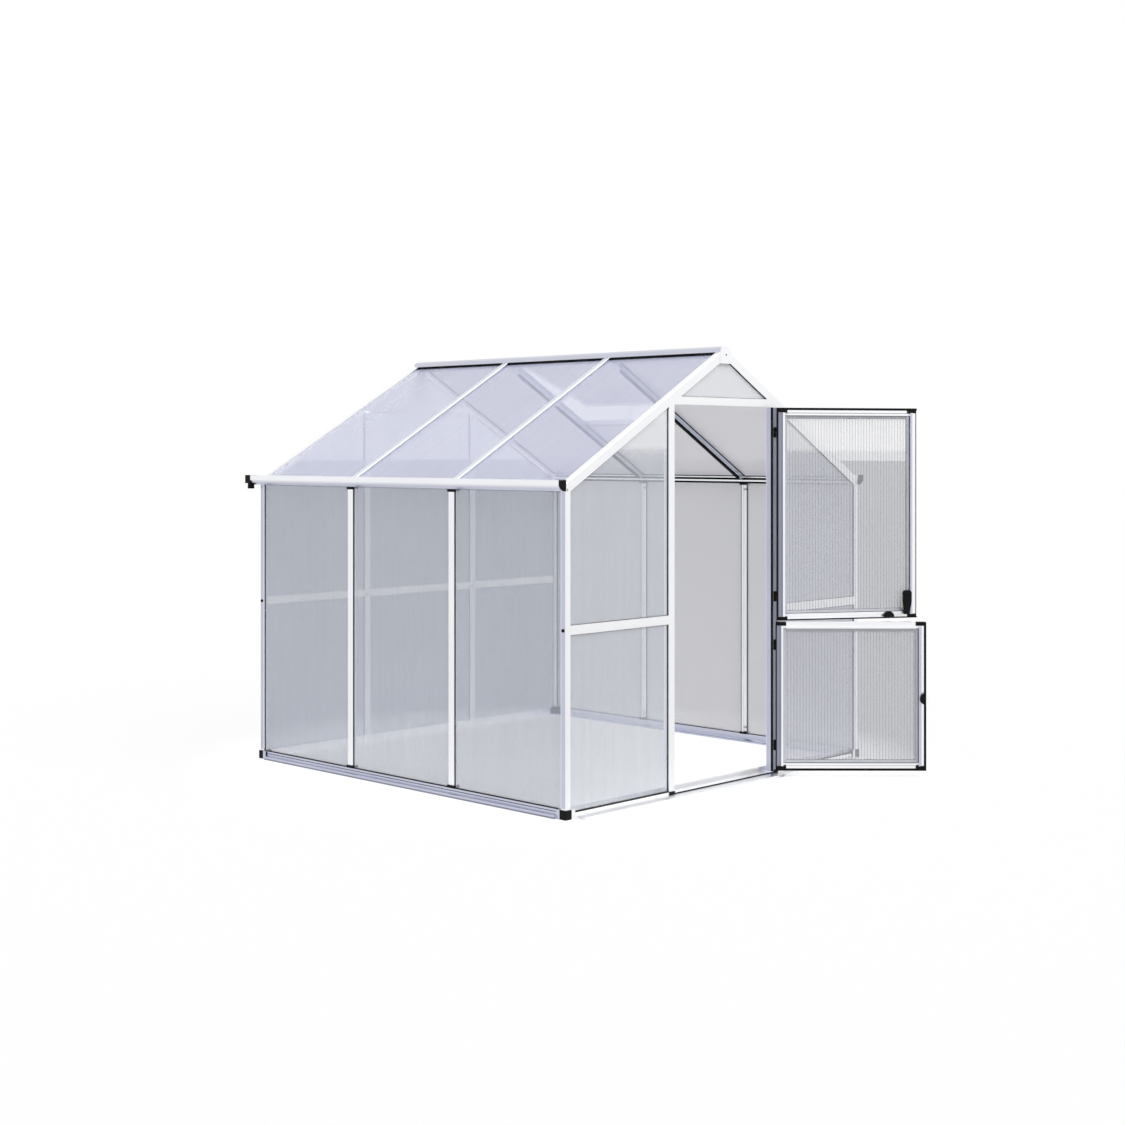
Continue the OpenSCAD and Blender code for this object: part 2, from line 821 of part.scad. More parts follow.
module vent_frame_ends() {
    color(alu) on_vent() {
        along_y(vent_a + vent_bar_w, vent_b - vent_bar_w) vent_channel();
        translate([vent_l, 0, 0]) mirror([1, 0, 0])
            along_y(vent_a + vent_bar_w, vent_b - vent_bar_w) vent_channel();
    }
}

module vent_panel() {
    e = vent_bar_w - slot_d + edge_gap;
    color(sheet) on_vent() box(e, vent_l - e, vent_a + e, vent_b - e,
        flange_t + panel_fit, flange_t + panel_fit + panel_t);
}

// Flat stay under the vent's lower bar, with the peg that holds it to the trimmer
module vent_stay() {
    color(alu) on_slope() translate([0, (vent_y0 + vent_y1) / 2, 0]) {
        difference() {
            box(stay_s, stay_s + stay_t, -stay_w / 2, stay_w / 2, -stay_low, stay_top);
            for (n = [stay_top - stay_hole_top : -stay_pitch : stay_hole_low])
                translate([stay_s - cut, 0, n]) rotate([0, 90, 0])
                    cylinder(h = stay_t + 2 * cut, r = stay_peg_r);
        }
        translate([stay_s + stay_t / 2, 0, -cap_t / 2]) rotate([0, 90, 0])
            cylinder(h = vent_s - stay_s - stay_t / 2 - panel_fit, r = stay_peg_r);
    }
}

// Lower half of a hinge on the jamb, with its pin
module jamb_hinge(z) {
    x1 = jamb_in + hinge_edge_jamb;
    z0 = z - hinge_half;
    translate([hinge_x, -hinge_y, z0]) {
        cylinder(h = hinge_half, r = knuckle_r);
        cylinder(h = 2 * hinge_half, r = pin_r);
    }
    box(hinge_x, x1 + hinge_plate_t, -hinge_y - arm_front, -hinge_plate_t, z0, z);
    box(x1, x1 + hinge_plate_w, -hinge_plate_t, 0, z0, z);
}

module jamb_hinges() {
    color(black) for (z = concat(upper_hinges, lower_hinges)) jamb_hinge(z);
}

// Upper half of a hinge on a leaf, bored for the pin
module leaf_hinge(z) {
    x1 = frame_half - hinge_edge_leaf;
    z0 = z + hinge_gap;
    z1 = z + hinge_half;
    difference() {
        union() {
            translate([hinge_x, -hinge_y, z0]) cylinder(h = z1 - z0, r = knuckle_r);
            box(x1 - hinge_plate_t, hinge_x, -hinge_y - arm_front, -hinge_plate_t, z0, z1);
            box(x1 - hinge_plate_w, x1, -hinge_plate_t, 0, z0, z1);
        }
        translate([hinge_x, -hinge_y, z]) cylinder(h = hinge_half + cut, r = pin_r + pin_fit);
    }
}

// Turns a leaf about the hinge axis, from closed to open
module opened(angle) {
    translate([hinge_x, -hinge_y, 0]) rotate([0, 0, angle])
        translate([-hinge_x, hinge_y, 0]) children();
}

// Leaf bar: x from its outer edge, y into the house
module leaf_section() {
    rect(0, leaf_bar, 0, cap_t);
    rect(0, leaf_slot, 0, leaf_recess);
    rect(leaf_slot - bead_w, leaf_slot, 0, leaf_t);
    rect(leaf_slot - bead_w, leaf_bar, slot_q, core_q);
}

module leaf_stiles(z0, z1) {
    both_sides() translate([-frame_half, 0, 0])
        along_z(z0 + leaf_corner_h, z1 - leaf_corner_h) leaf_section();
}

module leaf_rails(z0, z1) {
    x = frame_half - leaf_bar;
    translate([0, 0, z0]) along_x(-x, x) swapped() leaf_section();
    translate([0, 0, z1]) mirror([0, 0, 1]) along_x(-x, x) swapped() leaf_section();
}

module leaf_corners(z0, z1) {
    both_sides() for (z = [z0, z1 - leaf_corner_h])
        box(-frame_half, leaf_bar - frame_half, 0, leaf_t, z, z + leaf_corner_h);
}

module leaf_panel(z0, z1) {
    e = leaf_slot + edge_gap;
    box(e - frame_half, frame_half - e, panel_q, panel_q + panel_t, z0 + e, z1 - e);
}

module stile_seal(side, z0, z1) {
    x = side * (frame_half + seal_t / 2);
    box(x - seal_t / 2, x + seal_t / 2, seal_in, seal_in + seal_w, z0 + leaf_corner_h,
        z1 - leaf_corner_h);
}

module rail_seal(z) {
    box(-frame_half, frame_half, seal_in, seal_in + seal_w, z, z + seal_t);
}

// Lever on its foot, seen from inside: x across, z up, y into the house
module lever() {
    r = lever_w / 2;
    translate([0, lever_foot_t, 0]) rotate([90, 0, 0]) linear_extrude(lever_foot_t)
        rect(-lever_foot_w / 2, lever_foot_w / 2, 0, lever_foot_l);
    translate([0, lever_foot_t + lever_t, 0]) rotate([90, 0, 0]) linear_extrude(lever_t) {
        translate([0, lever_l - r]) circle(r);
        polygon([[-lever_neck / 2, 0], [lever_neck / 2, 0], [r, lever_l - r], [-r, lever_l - r]]);
    }
}

module half_button() {
    translate([0, button_t, 0]) rotate([90, 0, 0]) linear_extrude(button_t) intersection() {
        circle(button_r);
        rect(-button_r, button_r, 0, button_r);
    }
}

module upper_leaf_stiles() {
    color(alu) opened(upper_leaf_angle) leaf_stiles(upper_z0, upper_z1);
}

module upper_leaf_rails() {
    color(alu) opened(upper_leaf_angle) leaf_rails(upper_z0, upper_z1);
}

module upper_leaf_corners() {
    color(black) opened(upper_leaf_angle) leaf_corners(upper_z0, upper_z1);
}

module upper_leaf_panel() {
    color(sheet) opened(upper_leaf_angle) leaf_panel(upper_z0, upper_z1);
}

module upper_leaf_seals() {
    color(black) opened(upper_leaf_angle) {
        rail_seal(upper_z1);
        stile_seal(1, upper_z0, upper_z1);
    }
}

module upper_leaf_handle() {
    z = upper_z0 + leaf_corner_h;
    color(black) opened(upper_leaf_angle) {
        translate([lever_x - frame_half, leaf_t, z]) lever();
        translate([button_x - frame_half, leaf_t, upper_z0 + button_z]) half_button();
    }
}

module upper_leaf_hinges() {
    color(black) opened(upper_leaf_angle) for (z = upper_hinges) leaf_hinge(z);
}

module lower_leaf_stiles() {
    color(alu) opened(lower_leaf_angle) leaf_stiles(lower_z0, split_z);
}

module lower_leaf_rails() {
    color(alu) opened(lower_leaf_angle) leaf_rails(lower_z0, split_z);
}

module lower_leaf_corners() {
    color(black) opened(lower_leaf_angle) leaf_corners(lower_z0, split_z);
}

module lower_leaf_panel() {
    color(sheet) opened(lower_leaf_angle) leaf_panel(lower_z0, split_z);
}

module lower_leaf_seals() {
    color(black) opened(lower_leaf_angle) {
        rail_seal(leaf_under);
        for (s = [-1, 1]) stile_seal(s, lower_z0, split_z);
    }
}

module lower_leaf_latch() {
    color(black) opened(lower_leaf_angle)
        translate([-frame_half, leaf_t, (lower_z0 + split_z) / 2 - button_r / 2])
            rotate([0, 90, 0]) half_button();
}

module lower_leaf_hinges() {
    color(black) opened(lower_leaf_angle) for (z = lower_hinges) leaf_hinge(z);
}

base_rail_front();
base_rail_back();
base_rails_side();
base_corner_caps();
corner_posts();
side_wall_studs();
post_end_caps();
eave_beams();
gutters();
gutter_end_caps();
ridge_beam();
ridge_end_plates();
gable_rafters();
roof_bars();
door_jambs();
door_header();
front_mid_rails();
back_posts();
back_header();
back_mid_rails();
left_wall_panels();
right_wall_panels();
left_roof_panels();
right_roof_panels();
front_gable_panels();
back_gable_panels();
vent_trimmer();
vent_frame_sides();
vent_frame_ends();
vent_panel();
vent_stay();
jamb_hinges();
upper_leaf_stiles();
upper_leaf_rails();
upper_leaf_corners();
upper_leaf_panel();
upper_leaf_seals();
upper_leaf_handle();
upper_leaf_hinges();
lower_leaf_stiles();
lower_leaf_rails();
lower_leaf_corners();
lower_leaf_panel();
lower_leaf_seals();
lower_leaf_latch();
lower_leaf_hinges();
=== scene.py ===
"""Looks of a hobby greenhouse: aluminium bars, twin-wall sheets and black fittings.

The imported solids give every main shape. This script dresses them, puts the ribs into the
sheets, lays the glazing gaskets, and adds the screws, bolts and door furniture.
"""

import logging
import math
from dataclasses import dataclass, replace
from enum import Enum
from typing import Iterable

import bmesh
import bpy
from mathutils import Euler, Matrix, Vector


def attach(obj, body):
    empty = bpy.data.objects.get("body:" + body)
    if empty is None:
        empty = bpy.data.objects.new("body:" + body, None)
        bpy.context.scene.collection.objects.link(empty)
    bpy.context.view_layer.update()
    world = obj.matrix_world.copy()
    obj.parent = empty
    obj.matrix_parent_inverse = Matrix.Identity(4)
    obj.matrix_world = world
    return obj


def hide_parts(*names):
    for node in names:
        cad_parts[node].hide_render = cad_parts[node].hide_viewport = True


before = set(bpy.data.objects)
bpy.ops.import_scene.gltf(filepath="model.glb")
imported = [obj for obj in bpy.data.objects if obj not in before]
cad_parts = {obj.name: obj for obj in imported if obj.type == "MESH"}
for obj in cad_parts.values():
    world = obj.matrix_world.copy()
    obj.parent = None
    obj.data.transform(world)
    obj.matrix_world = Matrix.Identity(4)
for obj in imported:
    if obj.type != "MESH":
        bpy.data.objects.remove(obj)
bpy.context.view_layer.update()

logging.basicConfig(level=logging.INFO, format="%(message)s")
log = logging.getLogger("greenhouse")

Colour = tuple[float, float, float]
Span = tuple[float, float]
Outline = list[Vector]
Shape = bmesh.types.BMesh
Material = bpy.types.Material
Node = bpy.types.Node
Socket = bpy.types.NodeSocket

SIDES = (-1, 1)
X, Y, Z = Vector((1, 0, 0)), Vector((0, 1, 0)), Vector((0, 0, 1))


def shift(base: float, by: Span) -> Span:
    """Moves a span by a base."""
    return base + by[0], base + by[1]


def quad(a: Span, b: Span) -> list[Span]:
    """Lists the corners of a rectangle, in order round it."""
    return [(a[0], b[0]), (a[1], b[0]), (a[1], b[1]), (a[0], b[1])]


class Body(Enum):
    """The bodies that pieces ride on."""

    HOUSE = "house"
    UPPER = "upper_leaf"
    LOWER = "lower_leaf"


class Slot(Enum):
    """The record's material slots."""

    METAL = "aluminium"
    SHEET = "twin_wall_sheet"
    PLASTIC = "black_plastic"
    RUBBER = "seal_rubber"


@dataclass(frozen=True)
class HouseSizes:
    """Sizes of the house in metres, as the solids have them."""

    half_w: float = 0.950
    length: float = 1.916
    eave_h: float = 1.262
    pitch: float = math.radians(30.0)
    beam_under: float = 1.233
    beam_d: float = 0.030
    bays: int = 3
    bar_half: float = 0.016
    cap_t: float = 0.008
    sheet_q: float = 0.0083
    sheet_t: float = 0.004
    core_q: float = 0.0156
    rib_d: float = 0.014
    post_lip: float = 0.026
    rafter_face: float = 0.038
    rail_z: float = 0.710
    rail_half: float = 0.018
    base_h: float = 0.036
    ledge_d: float = 0.014
    corner_proud: float = 0.005
    corner_reach: float = 0.046
    front_lip_h: float = 0.026
    sill_t: float = 0.012
    jamb_in: float = 0.323
    jamb_w: float = 0.034
    post_x: float = 0.340
    header_drop: float = 0.2385
    header_h: float = 0.032
    ridge_half: float = 0.028
    trimmer_end: float = 0.576
    vent_angle: float = math.radians(8.0)
    vent_hinge_s: float = 0.03356
    vent_lift: float = 0.0002
    strip_foot: float = 0.004
    strip_head: float = 0.002

    @property
    def apex_z(self) -> float:
        """Height of the line in which the roof planes meet."""
        return self.eave_h + self.half_w * math.tan(self.pitch)

    @property
    def bay(self) -> float:
        """Length of one bay along a side."""
        return self.length / self.bays

    @property
    def studs(self) -> list[float]:
        """Places of the studs and roof bars along a side."""
        return [i * self.bay for i in range(1, self.bays)]

    @property
    def header_z(self) -> float:
        """Height of the header's underside."""
        return self.apex_z - self.header_drop

    @property
    def jamb_out(self) -> float:
        """Distance of a jamb's outer edge from the middle."""
        return self.jamb_in + self.jamb_w

    @property
    def doorway(self) -> Span:
        """Heights between which strips stand in the doorway."""
        return self.sill_t + self.strip_foot, self.header_z - self.strip_head

    def along(self, gap: float) -> Span:
        """Span along the house that keeps a gap to both gables."""
        return gap, self.length - gap

    def roof_z(self, x: float, n: float) -> float:
        """Height of the plane n above the roof bars' outer plane, at x from the middle."""
        return self.apex_z - x * math.tan(self.pitch) + n / math.cos(self.pitch)

    def bay_span(self, i: int) -> Span:
        """Sight lines of bay i along a side.

        Args:
            i: Number of the bay, from the front.

        Returns:
            Where the visible sheet starts and ends along the house.
        """
        first, last = self.along(self.post_lip)
        start = first if i == 0 else i * self.bay + self.bar_half
        end = last if i == self.bays - 1 else (i + 1) * self.bay - self.bar_half
        return start, end

    def slope(self, side: int) -> Matrix:
        """Frame of a roof slope: x down the slope, y along the house, z out of it.

        Args:
            side: 1 for the right slope, -1 for the left one.

        Returns:
            Matrix from the slope's frame to the house's.
        """
        lift = Matrix.Translation(Z * self.apex_z)
        return Matrix.Scale(side, 4, X) @ lift @ Matrix.Rotation(self.pitch, 4, "Y")

    def vent(self) -> Matrix:
        """Frame of the propped vent: x down from its hinge line, z out of it."""
        seat = Matrix.Translation((self.vent_hinge_s, 0.0, self.vent_lift))
        return self.slope(1) @ seat @ Matrix.Rotation(-self.vent_angle, 4, "Y")


@dataclass(frozen=True)
class LeafSizes:
    """Sizes of one door leaf in metres, as the solids have them."""

    name: str
    body: Body
    angle: float
    z0: float
    z1: float
    sealed_sides: tuple[int, ...]
    seal_on_top: bool
    half: float = 0.315
    bar: float = 0.040
    thick: float = 0.026
    recess: float = 0.020
    bead_in: float = 0.019
    bead_out: float = 0.028
    flange: float = 0.0156
    corner_h: float = 0.016
    hinge_inset: float = 0.100
    hinge_x: float = 0.3195
    hinge_y: float = 0.011

    def place(self) -> Matrix:
        """Matrix from the closed leaf to the leaf as it stands open."""
        pin = Matrix.Translation((self.hinge_x, -self.hinge_y, 0.0))
        return pin @ Matrix.Rotation(self.angle, 4, "Z") @ pin.inverted()

    def heights(self, gap: float) -> Span:
        """Heights that keep a gap to the leaf's upper and lower edge."""
        return self.z0 + gap, self.z1 - gap

    def inset(self, gap: float, seat: float) -> Outline:
        """Corners of a rectangle inside the closed leaf's edge, seat above its outer face."""
        x = self.half - gap
        return [Vector((cx, seat, cz)) for cx, cz in quad((-x, x), self.heights(gap))]


HOUSE = HouseSizes()
LEAF_TOP_GAP = 0.008
UPPER_LEAF = LeafSizes(
    "upper_leaf", Body.UPPER, angle=math.radians(147.5), z0=0.665, z1=HOUSE.header_z - LEAF_TOP_GAP,
    sealed_sides=(1,), seal_on_top=True,
)
LOWER_LEAF = LeafSizes(
    "lower_leaf", Body.LOWER, angle=math.radians(134.0), z0=0.032, z1=0.659,
    sealed_sides=(-1, 1), seal_on_top=False,
)
LEAVES = (UPPER_LEAF, LOWER_LEAF)


class Run(Enum):
    """Turns that lay a bar's length, or the way across a sheet's ribs, along a pattern's x."""

    ALONG_X = (0.0, 0.0, 0.0)
    ALONG_Y = (0.0, 0.0, -math.pi / 2)
    ALONG_Z = (0.0, math.pi / 2, 0.0)
    DOWN_SLOPE = (0.0, -HOUSE.pitch, 0.0)
    UPPER_ACROSS = (0.0, 0.0, -UPPER_LEAF.angle)
    LOWER_ACROSS = (0.0, 0.0, -LOWER_LEAF.angle)


class NodeKit:
    """Short ways to place and link shader nodes in a tree."""

    MIX_LOW, MIX_HIGH, MIX_COLOUR = 6, 7, 2

    def __init__(self, tree: bpy.types.NodeTree) -> None:
        """Keeps the tree that nodes go into."""
        self.tree = tree

    def add(self, kind: str, **settings: object) -> Node:
        """Adds a node.

        Args:
            kind: Blender's name of the node type.
            settings: Properties to set on the node.

        Returns:
            The new node.
        """
        node = self.tree.nodes.new(kind)
        for key, value in settings.items():
            setattr(node, key, value)
        return node

    def put(self, value: object, target: Socket) -> None:
        """Links a socket to an input, or sets the input to a value.

        Args:
            value: A socket, number, vector or colour.
            target: The input.
        """
        if isinstance(value, Socket):
            self.tree.links.new(value, target)
        else:
            target.default_value = (*value, 1.0) if target.type == "RGBA" else value

    def feed(self, node: Node, **inputs: object) -> Node:
        """Sets or links inputs by name, with _ for a space.

        Args:
            node: Node whose inputs are fed.
            inputs: A socket to link, or a value to set, for each input.

        Returns:
            The same node.
        """
        for key, value in inputs.items():
            self.put(value, node.inputs[key.replace("_", " ")])
        return node

    def math(self, operation: str, a: object, b: object = 0.0) -> Socket:
        """Adds a Math node.

        Args:
            operation: Name of the operation.
            a: First socket or value.
            b: Second socket or value.

        Returns:
            The node's result.
        """
        node = self.add("ShaderNodeMath", operation=operation)
        self.put(a, node.inputs[0])
        self.put(b, node.inputs[1])
        return node.outputs[0]

    def vector(self, operation: str, a: Socket, b: Colour = (0.0, 0.0, 0.0)) -> Node:
        """Adds a Vector Math node.

        Args:
            operation: Name of the operation.
            a: The vector to change.
            b: What it is changed by.

        Returns:
            The node.
        """
        node = self.add("ShaderNodeVectorMath", operation=operation)
        self.put(a, node.inputs[0])
        self.put(b, node.inputs[1])
        return node

    def axes(self, vector: Socket) -> bpy.types.NodeOutputs:
        """Splits a vector into X, Y and Z."""
        return self.feed(self.add("ShaderNodeSeparateXYZ"), Vector=vector).outputs

    def noise(self, vector: Socket, scale: object, detail: float) -> Socket:
        """Adds a noise from 0 to 1, whose scale is a socket or a value."""
        node = self.add("ShaderNodeTexNoise")
        return self.feed(node, Vector=vector, Scale=scale, Detail=detail).outputs[0]

    def between(self, factor: Socket, low: object, high: object) -> Socket:
        """Mixes two colours by a factor.

        Args:
            factor: Factor from 0 to 1.
            low: Colour at 0, as a socket or a value.
            high: Colour at 1, as a socket or a value.

        Returns:
            The mixed colour.
        """
        node = self.feed(self.add("ShaderNodeMix", data_type="RGBA"), Factor=factor)
        self.put(low, node.inputs[self.MIX_LOW])
        self.put(high, node.inputs[self.MIX_HIGH])
        return node.outputs[self.MIX_COLOUR]

    def span(self, factor: Socket, low: float, high: float) -> Socket:
        """Maps a factor from 0 to 1 onto a range from low to high."""
        node = self.add("ShaderNodeMapRange")
        return self.feed(node, Value=factor, To_Min=low, To_Max=high).outputs[0]

    def rise(self, value: Socket, over: Span) -> Socket:
        """Rises smoothly from 0 to 1 while a value crosses a span."""
        node = self.add("ShaderNodeMapRange", interpolation_type="SMOOTHSTEP")
        return self.feed(node, Value=value, From_Min=over[0], From_Max=over[1]).outputs[0]

    def mix_shaders(self, factor: Socket, low: Node, high: Node, output: Node) -> None:
        """Mixes two shaders into an output node.

        Args:
            factor: Factor from 0 to 1.
            low: Shader at 0.
            high: Shader at 1.
            output: The material's or world's output.
        """
        mix = self.add("ShaderNodeMixShader")
        for source, target in zip((factor, low.outputs[0], high.outputs[0]), mix.inputs):
            self.put(source, target)
        self.put(mix.outputs[0], output.inputs["Surface"])


class PatternGroup:
    """A shader node group with a vector input, built once and used by several finishes."""

    def __init__(self, name: str, number: str, default: float, outputs: Iterable[str]) -> None:
        """Makes the group and its sockets.

        Args:
            name: Name of the group.
            number: Name of the number that goes in.
            default: Its default.
            outputs: Name of each value that comes out.
        """
        self.tree = bpy.data.node_groups.new(name, "ShaderNodeTree")
        face = self.tree.interface
        face.new_socket("Vector", in_out="INPUT", socket_type="NodeSocketVector")
        size = face.new_socket(number, in_out="INPUT", socket_type="NodeSocketFloat")
        size.default_value = default
        for key in outputs:
            face.new_socket(key, in_out="OUTPUT", socket_type="NodeSocketFloat")
        self.kit = NodeKit(self.tree)
        source = self.kit.add("NodeGroupInput")
        self.vector, self.number = source.outputs["Vector"], source.outputs[number]
        self.sink = self.kit.add("NodeGroupOutput")

    def use(self, kit: NodeKit, vector: Socket, **values: float) -> bpy.types.NodeOutputs:
        """Places the group in a material.

        Args:
            kit: Kit of the material's tree.
            vector: Coordinates that the pattern follows.
            values: Value of the group's number.

        Returns:
            What the group puts out.
        """
        node = kit.add("ShaderNodeGroup", node_tree=self.tree)
        return kit.feed(node, Vector=vector, **values).outputs


@dataclass
class Patterns:
    """The patterns that the finishes share."""

    line_scale: Colour = (1.2, 620.0, 620.0)
    streak_scale: Colour = (2.5, 70.0, 70.0)
    sparkle_scale: Colour = (260.0, 3.0, 3.0)
    band_scale: Colour = (24.0, 0.5, 0.5)
    patch_span: Span = (-0.4, 1.4)
    wave_span: Span = (-0.5, 1.5)
    band_span: Span = (-0.7, 1.7)

    def __post_init__(self) -> None:
        """Builds each pattern once."""
        self.drawn = self._drawn_lines()
        self.cloud = self._cloud()
        self.grain = self._moulded_grain()
        self.flutes = self._flutes()

    def _drawn_lines(self) -> PatternGroup:
        """Makes the fine lines that the die leaves along an extruded bar, laid along x.

        Returns:
            The group.
        """
        group = PatternGroup("Drawn lines", "Fineness", 1.0, ("Lines", "Streaks"))
        kit = group.kit
        fine = kit.vector("MULTIPLY", group.vector, self.line_scale).outputs[0]
        broad = kit.vector("MULTIPLY", group.vector, self.streak_scale).outputs[0]
        kit.feed(
            group.sink,
            Lines=kit.noise(fine, group.number, detail=3.0),
            Streaks=kit.noise(broad, group.number, detail=4.0),
        )
        return group

    def _cloud(self) -> PatternGroup:
        """Makes broad soft patches, as of a thin film of dust or handling.

        Returns:
            The group.
        """
        group = PatternGroup("Soft patches", "Size", 4.0, ("Patches",))
        noise = group.kit.noise(group.vector, group.number, detail=5.0)
        group.kit.feed(group.sink, Patches=group.kit.span(noise, *self.patch_span))
        return group

    def _moulded_grain(self) -> PatternGroup:
        """Makes the fine spark grain of moulded nylon.

        Returns:
            The group.
        """
        group = PatternGroup("Moulded grain", "Fineness", 900.0, ("Grain",))
        cells = group.kit.add("ShaderNodeTexVoronoi")
        group.kit.feed(cells, Vector=group.vector, Scale=group.number)
        group.kit.feed(group.sink, Grain=cells.outputs["Distance"])
        return group

    def _flutes(self) -> PatternGroup:
        """Makes the shallow waves of a sheet's skin between its ribs, across x.

        Returns:
            The group.
        """
        group = PatternGroup("Skin flutes", "Pitch", 0.012, ("Wave", "Sparkle", "Bands"))
        kit = group.kit
        turns = kit.math("MULTIPLY", kit.axes(group.vector)["X"], math.tau)
        wave = kit.math("SINE", kit.math("DIVIDE", turns, group.number))
        fine = kit.vector("MULTIPLY", group.vector, self.sparkle_scale).outputs[0]
        broad = kit.vector("MULTIPLY", group.vector, self.band_scale).outputs[0]
        kit.feed(
            group.sink,
            Wave=kit.span(wave, *self.wave_span),
            Sparkle=kit.noise(fine, 1.0, detail=2.0),
            Bands=kit.span(kit.noise(broad, 1.0, detail=3.0), *self.band_span),
        )
        return group


class Finish:
    """A material under construction: its shader and coordinates."""

    def __init__(self, name: str, run: Run = Run.ALONG_X, mirrored: bool = False) -> None:
        """Starts a material.

        Args:
            name: Name of the material.
            run: Turn that lays the pattern along x.
            mirrored: Whether the pattern is the same on both sides of the middle.
        """
        self.material = bpy.data.materials.new(name)
        self.material.use_nodes = True
        self.kit = NodeKit(self.material.node_tree)
        self.shader = self.material.node_tree.nodes["Principled BSDF"]
        place = self.kit.add("ShaderNodeTexCoord").outputs["Object"]
        self.height = self.kit.axes(place)["Z"]
        if mirrored:
            place = self.kit.vector("ABSOLUTE", place).outputs[0]
        turned = self.kit.add("ShaderNodeMapping")
        self.place = self.kit.feed(turned, Vector=place, Rotation=run.value).outputs[0]

    def bump(self, height: Socket, distance: float, strength: float) -> None:
        """Raises the surface by a height from 0 to 1, over a distance in metres."""
        node = self.kit.feed(self.kit.add("ShaderNodeBump"), Height=height, Distance=distance,
                             Strength=strength)
        self.kit.feed(self.shader, Normal=node.outputs[0])


@dataclass(frozen=True)
class MillAluminium:
    """Satin aluminium bar, drawn along its length, with painted shade on its lower part when a
    height span for it is given.
    """

    name: str = "mill aluminium"
    pale: Colour = (0.982, 0.986, 0.998)
    deep: Colour = (0.915, 0.923, 0.952)
    smooth: float = 0.24
    dull: float = 0.42
    # Painted shade: the darker lilac colour that the bar takes below its height span, for the
    # ground's darker reflection.
    shade: Colour = (0.60, 0.615, 0.73)
    shade_z: Span | None = None

    def make(self, patterns: Patterns, title: str, run: Run) -> Material:
        """Builds the material for bars that run one way.

        Args:
            patterns: The shared patterns.
            title: Name of the material.
            run: Direction of the bars.

        Returns:
            The material.
        """
        finish = Finish(title, run, mirrored=run is Run.DOWN_SLOPE)
        kit = finish.kit
        drawn = patterns.drawn.use(kit, finish.place, Fineness=1.0)
        film = patterns.cloud.use(kit, finish.place, Size=3.5)["Patches"]
        colour = kit.between(kit.math("MULTIPLY", drawn["Streaks"], film), self.pale, self.deep)
        # Painted shade: below the height span the bar turns to the darker lilac colour, standing in
        # for the ground's reflection.
        if self.shade_z:
            colour = kit.between(kit.rise(finish.height, self.shade_z), self.shade, colour)
        kit.feed(
            finish.shader,
            Base_Color=colour,
            Metallic=1.0,
            Roughness=kit.span(drawn["Streaks"], self.smooth, self.dull),
        )
        finish.bump(drawn["Lines"], distance=0.00012, strength=0.35)
        return finish.material


class Metal(Enum):
    """Aluminium for each kind of bar: MILL is the plain metal, the others are copies of it with
    painted shade.
    """

    MILL = MillAluminium()
    # The ridge's darker grey colour is painted shade.
    RIDGE = MillAluminium("dull aluminium", (0.70, 0.71, 0.78), (0.60, 0.61, 0.68), 0.32, 0.5)
    # The roof bars' greyer lilac colour is painted shade that tones down their reflection.
    ROOF = MillAluminium("soft aluminium", (0.74, 0.765, 0.835), (0.69, 0.715, 0.785))
    # The gutter's lower, slanted faces get painted shade for the ground's darker reflection.
    GUTTER = MillAluminium("gutter aluminium", shade_z=(1.240, 1.258))
    # Painted shade: a darker bluish copy of the metal for side faces, reveals and beads that stand
    # in shade.
    COOL = MillAluminium("cool aluminium", (0.62, 0.64, 0.75), (0.50, 0.52, 0.63), 0.30, 0.46)
    SHADED = MillAluminium("shaded aluminium", (0.30, 0.31, 0.38), (0.23, 0.24, 0.30), 0.35, 0.5)


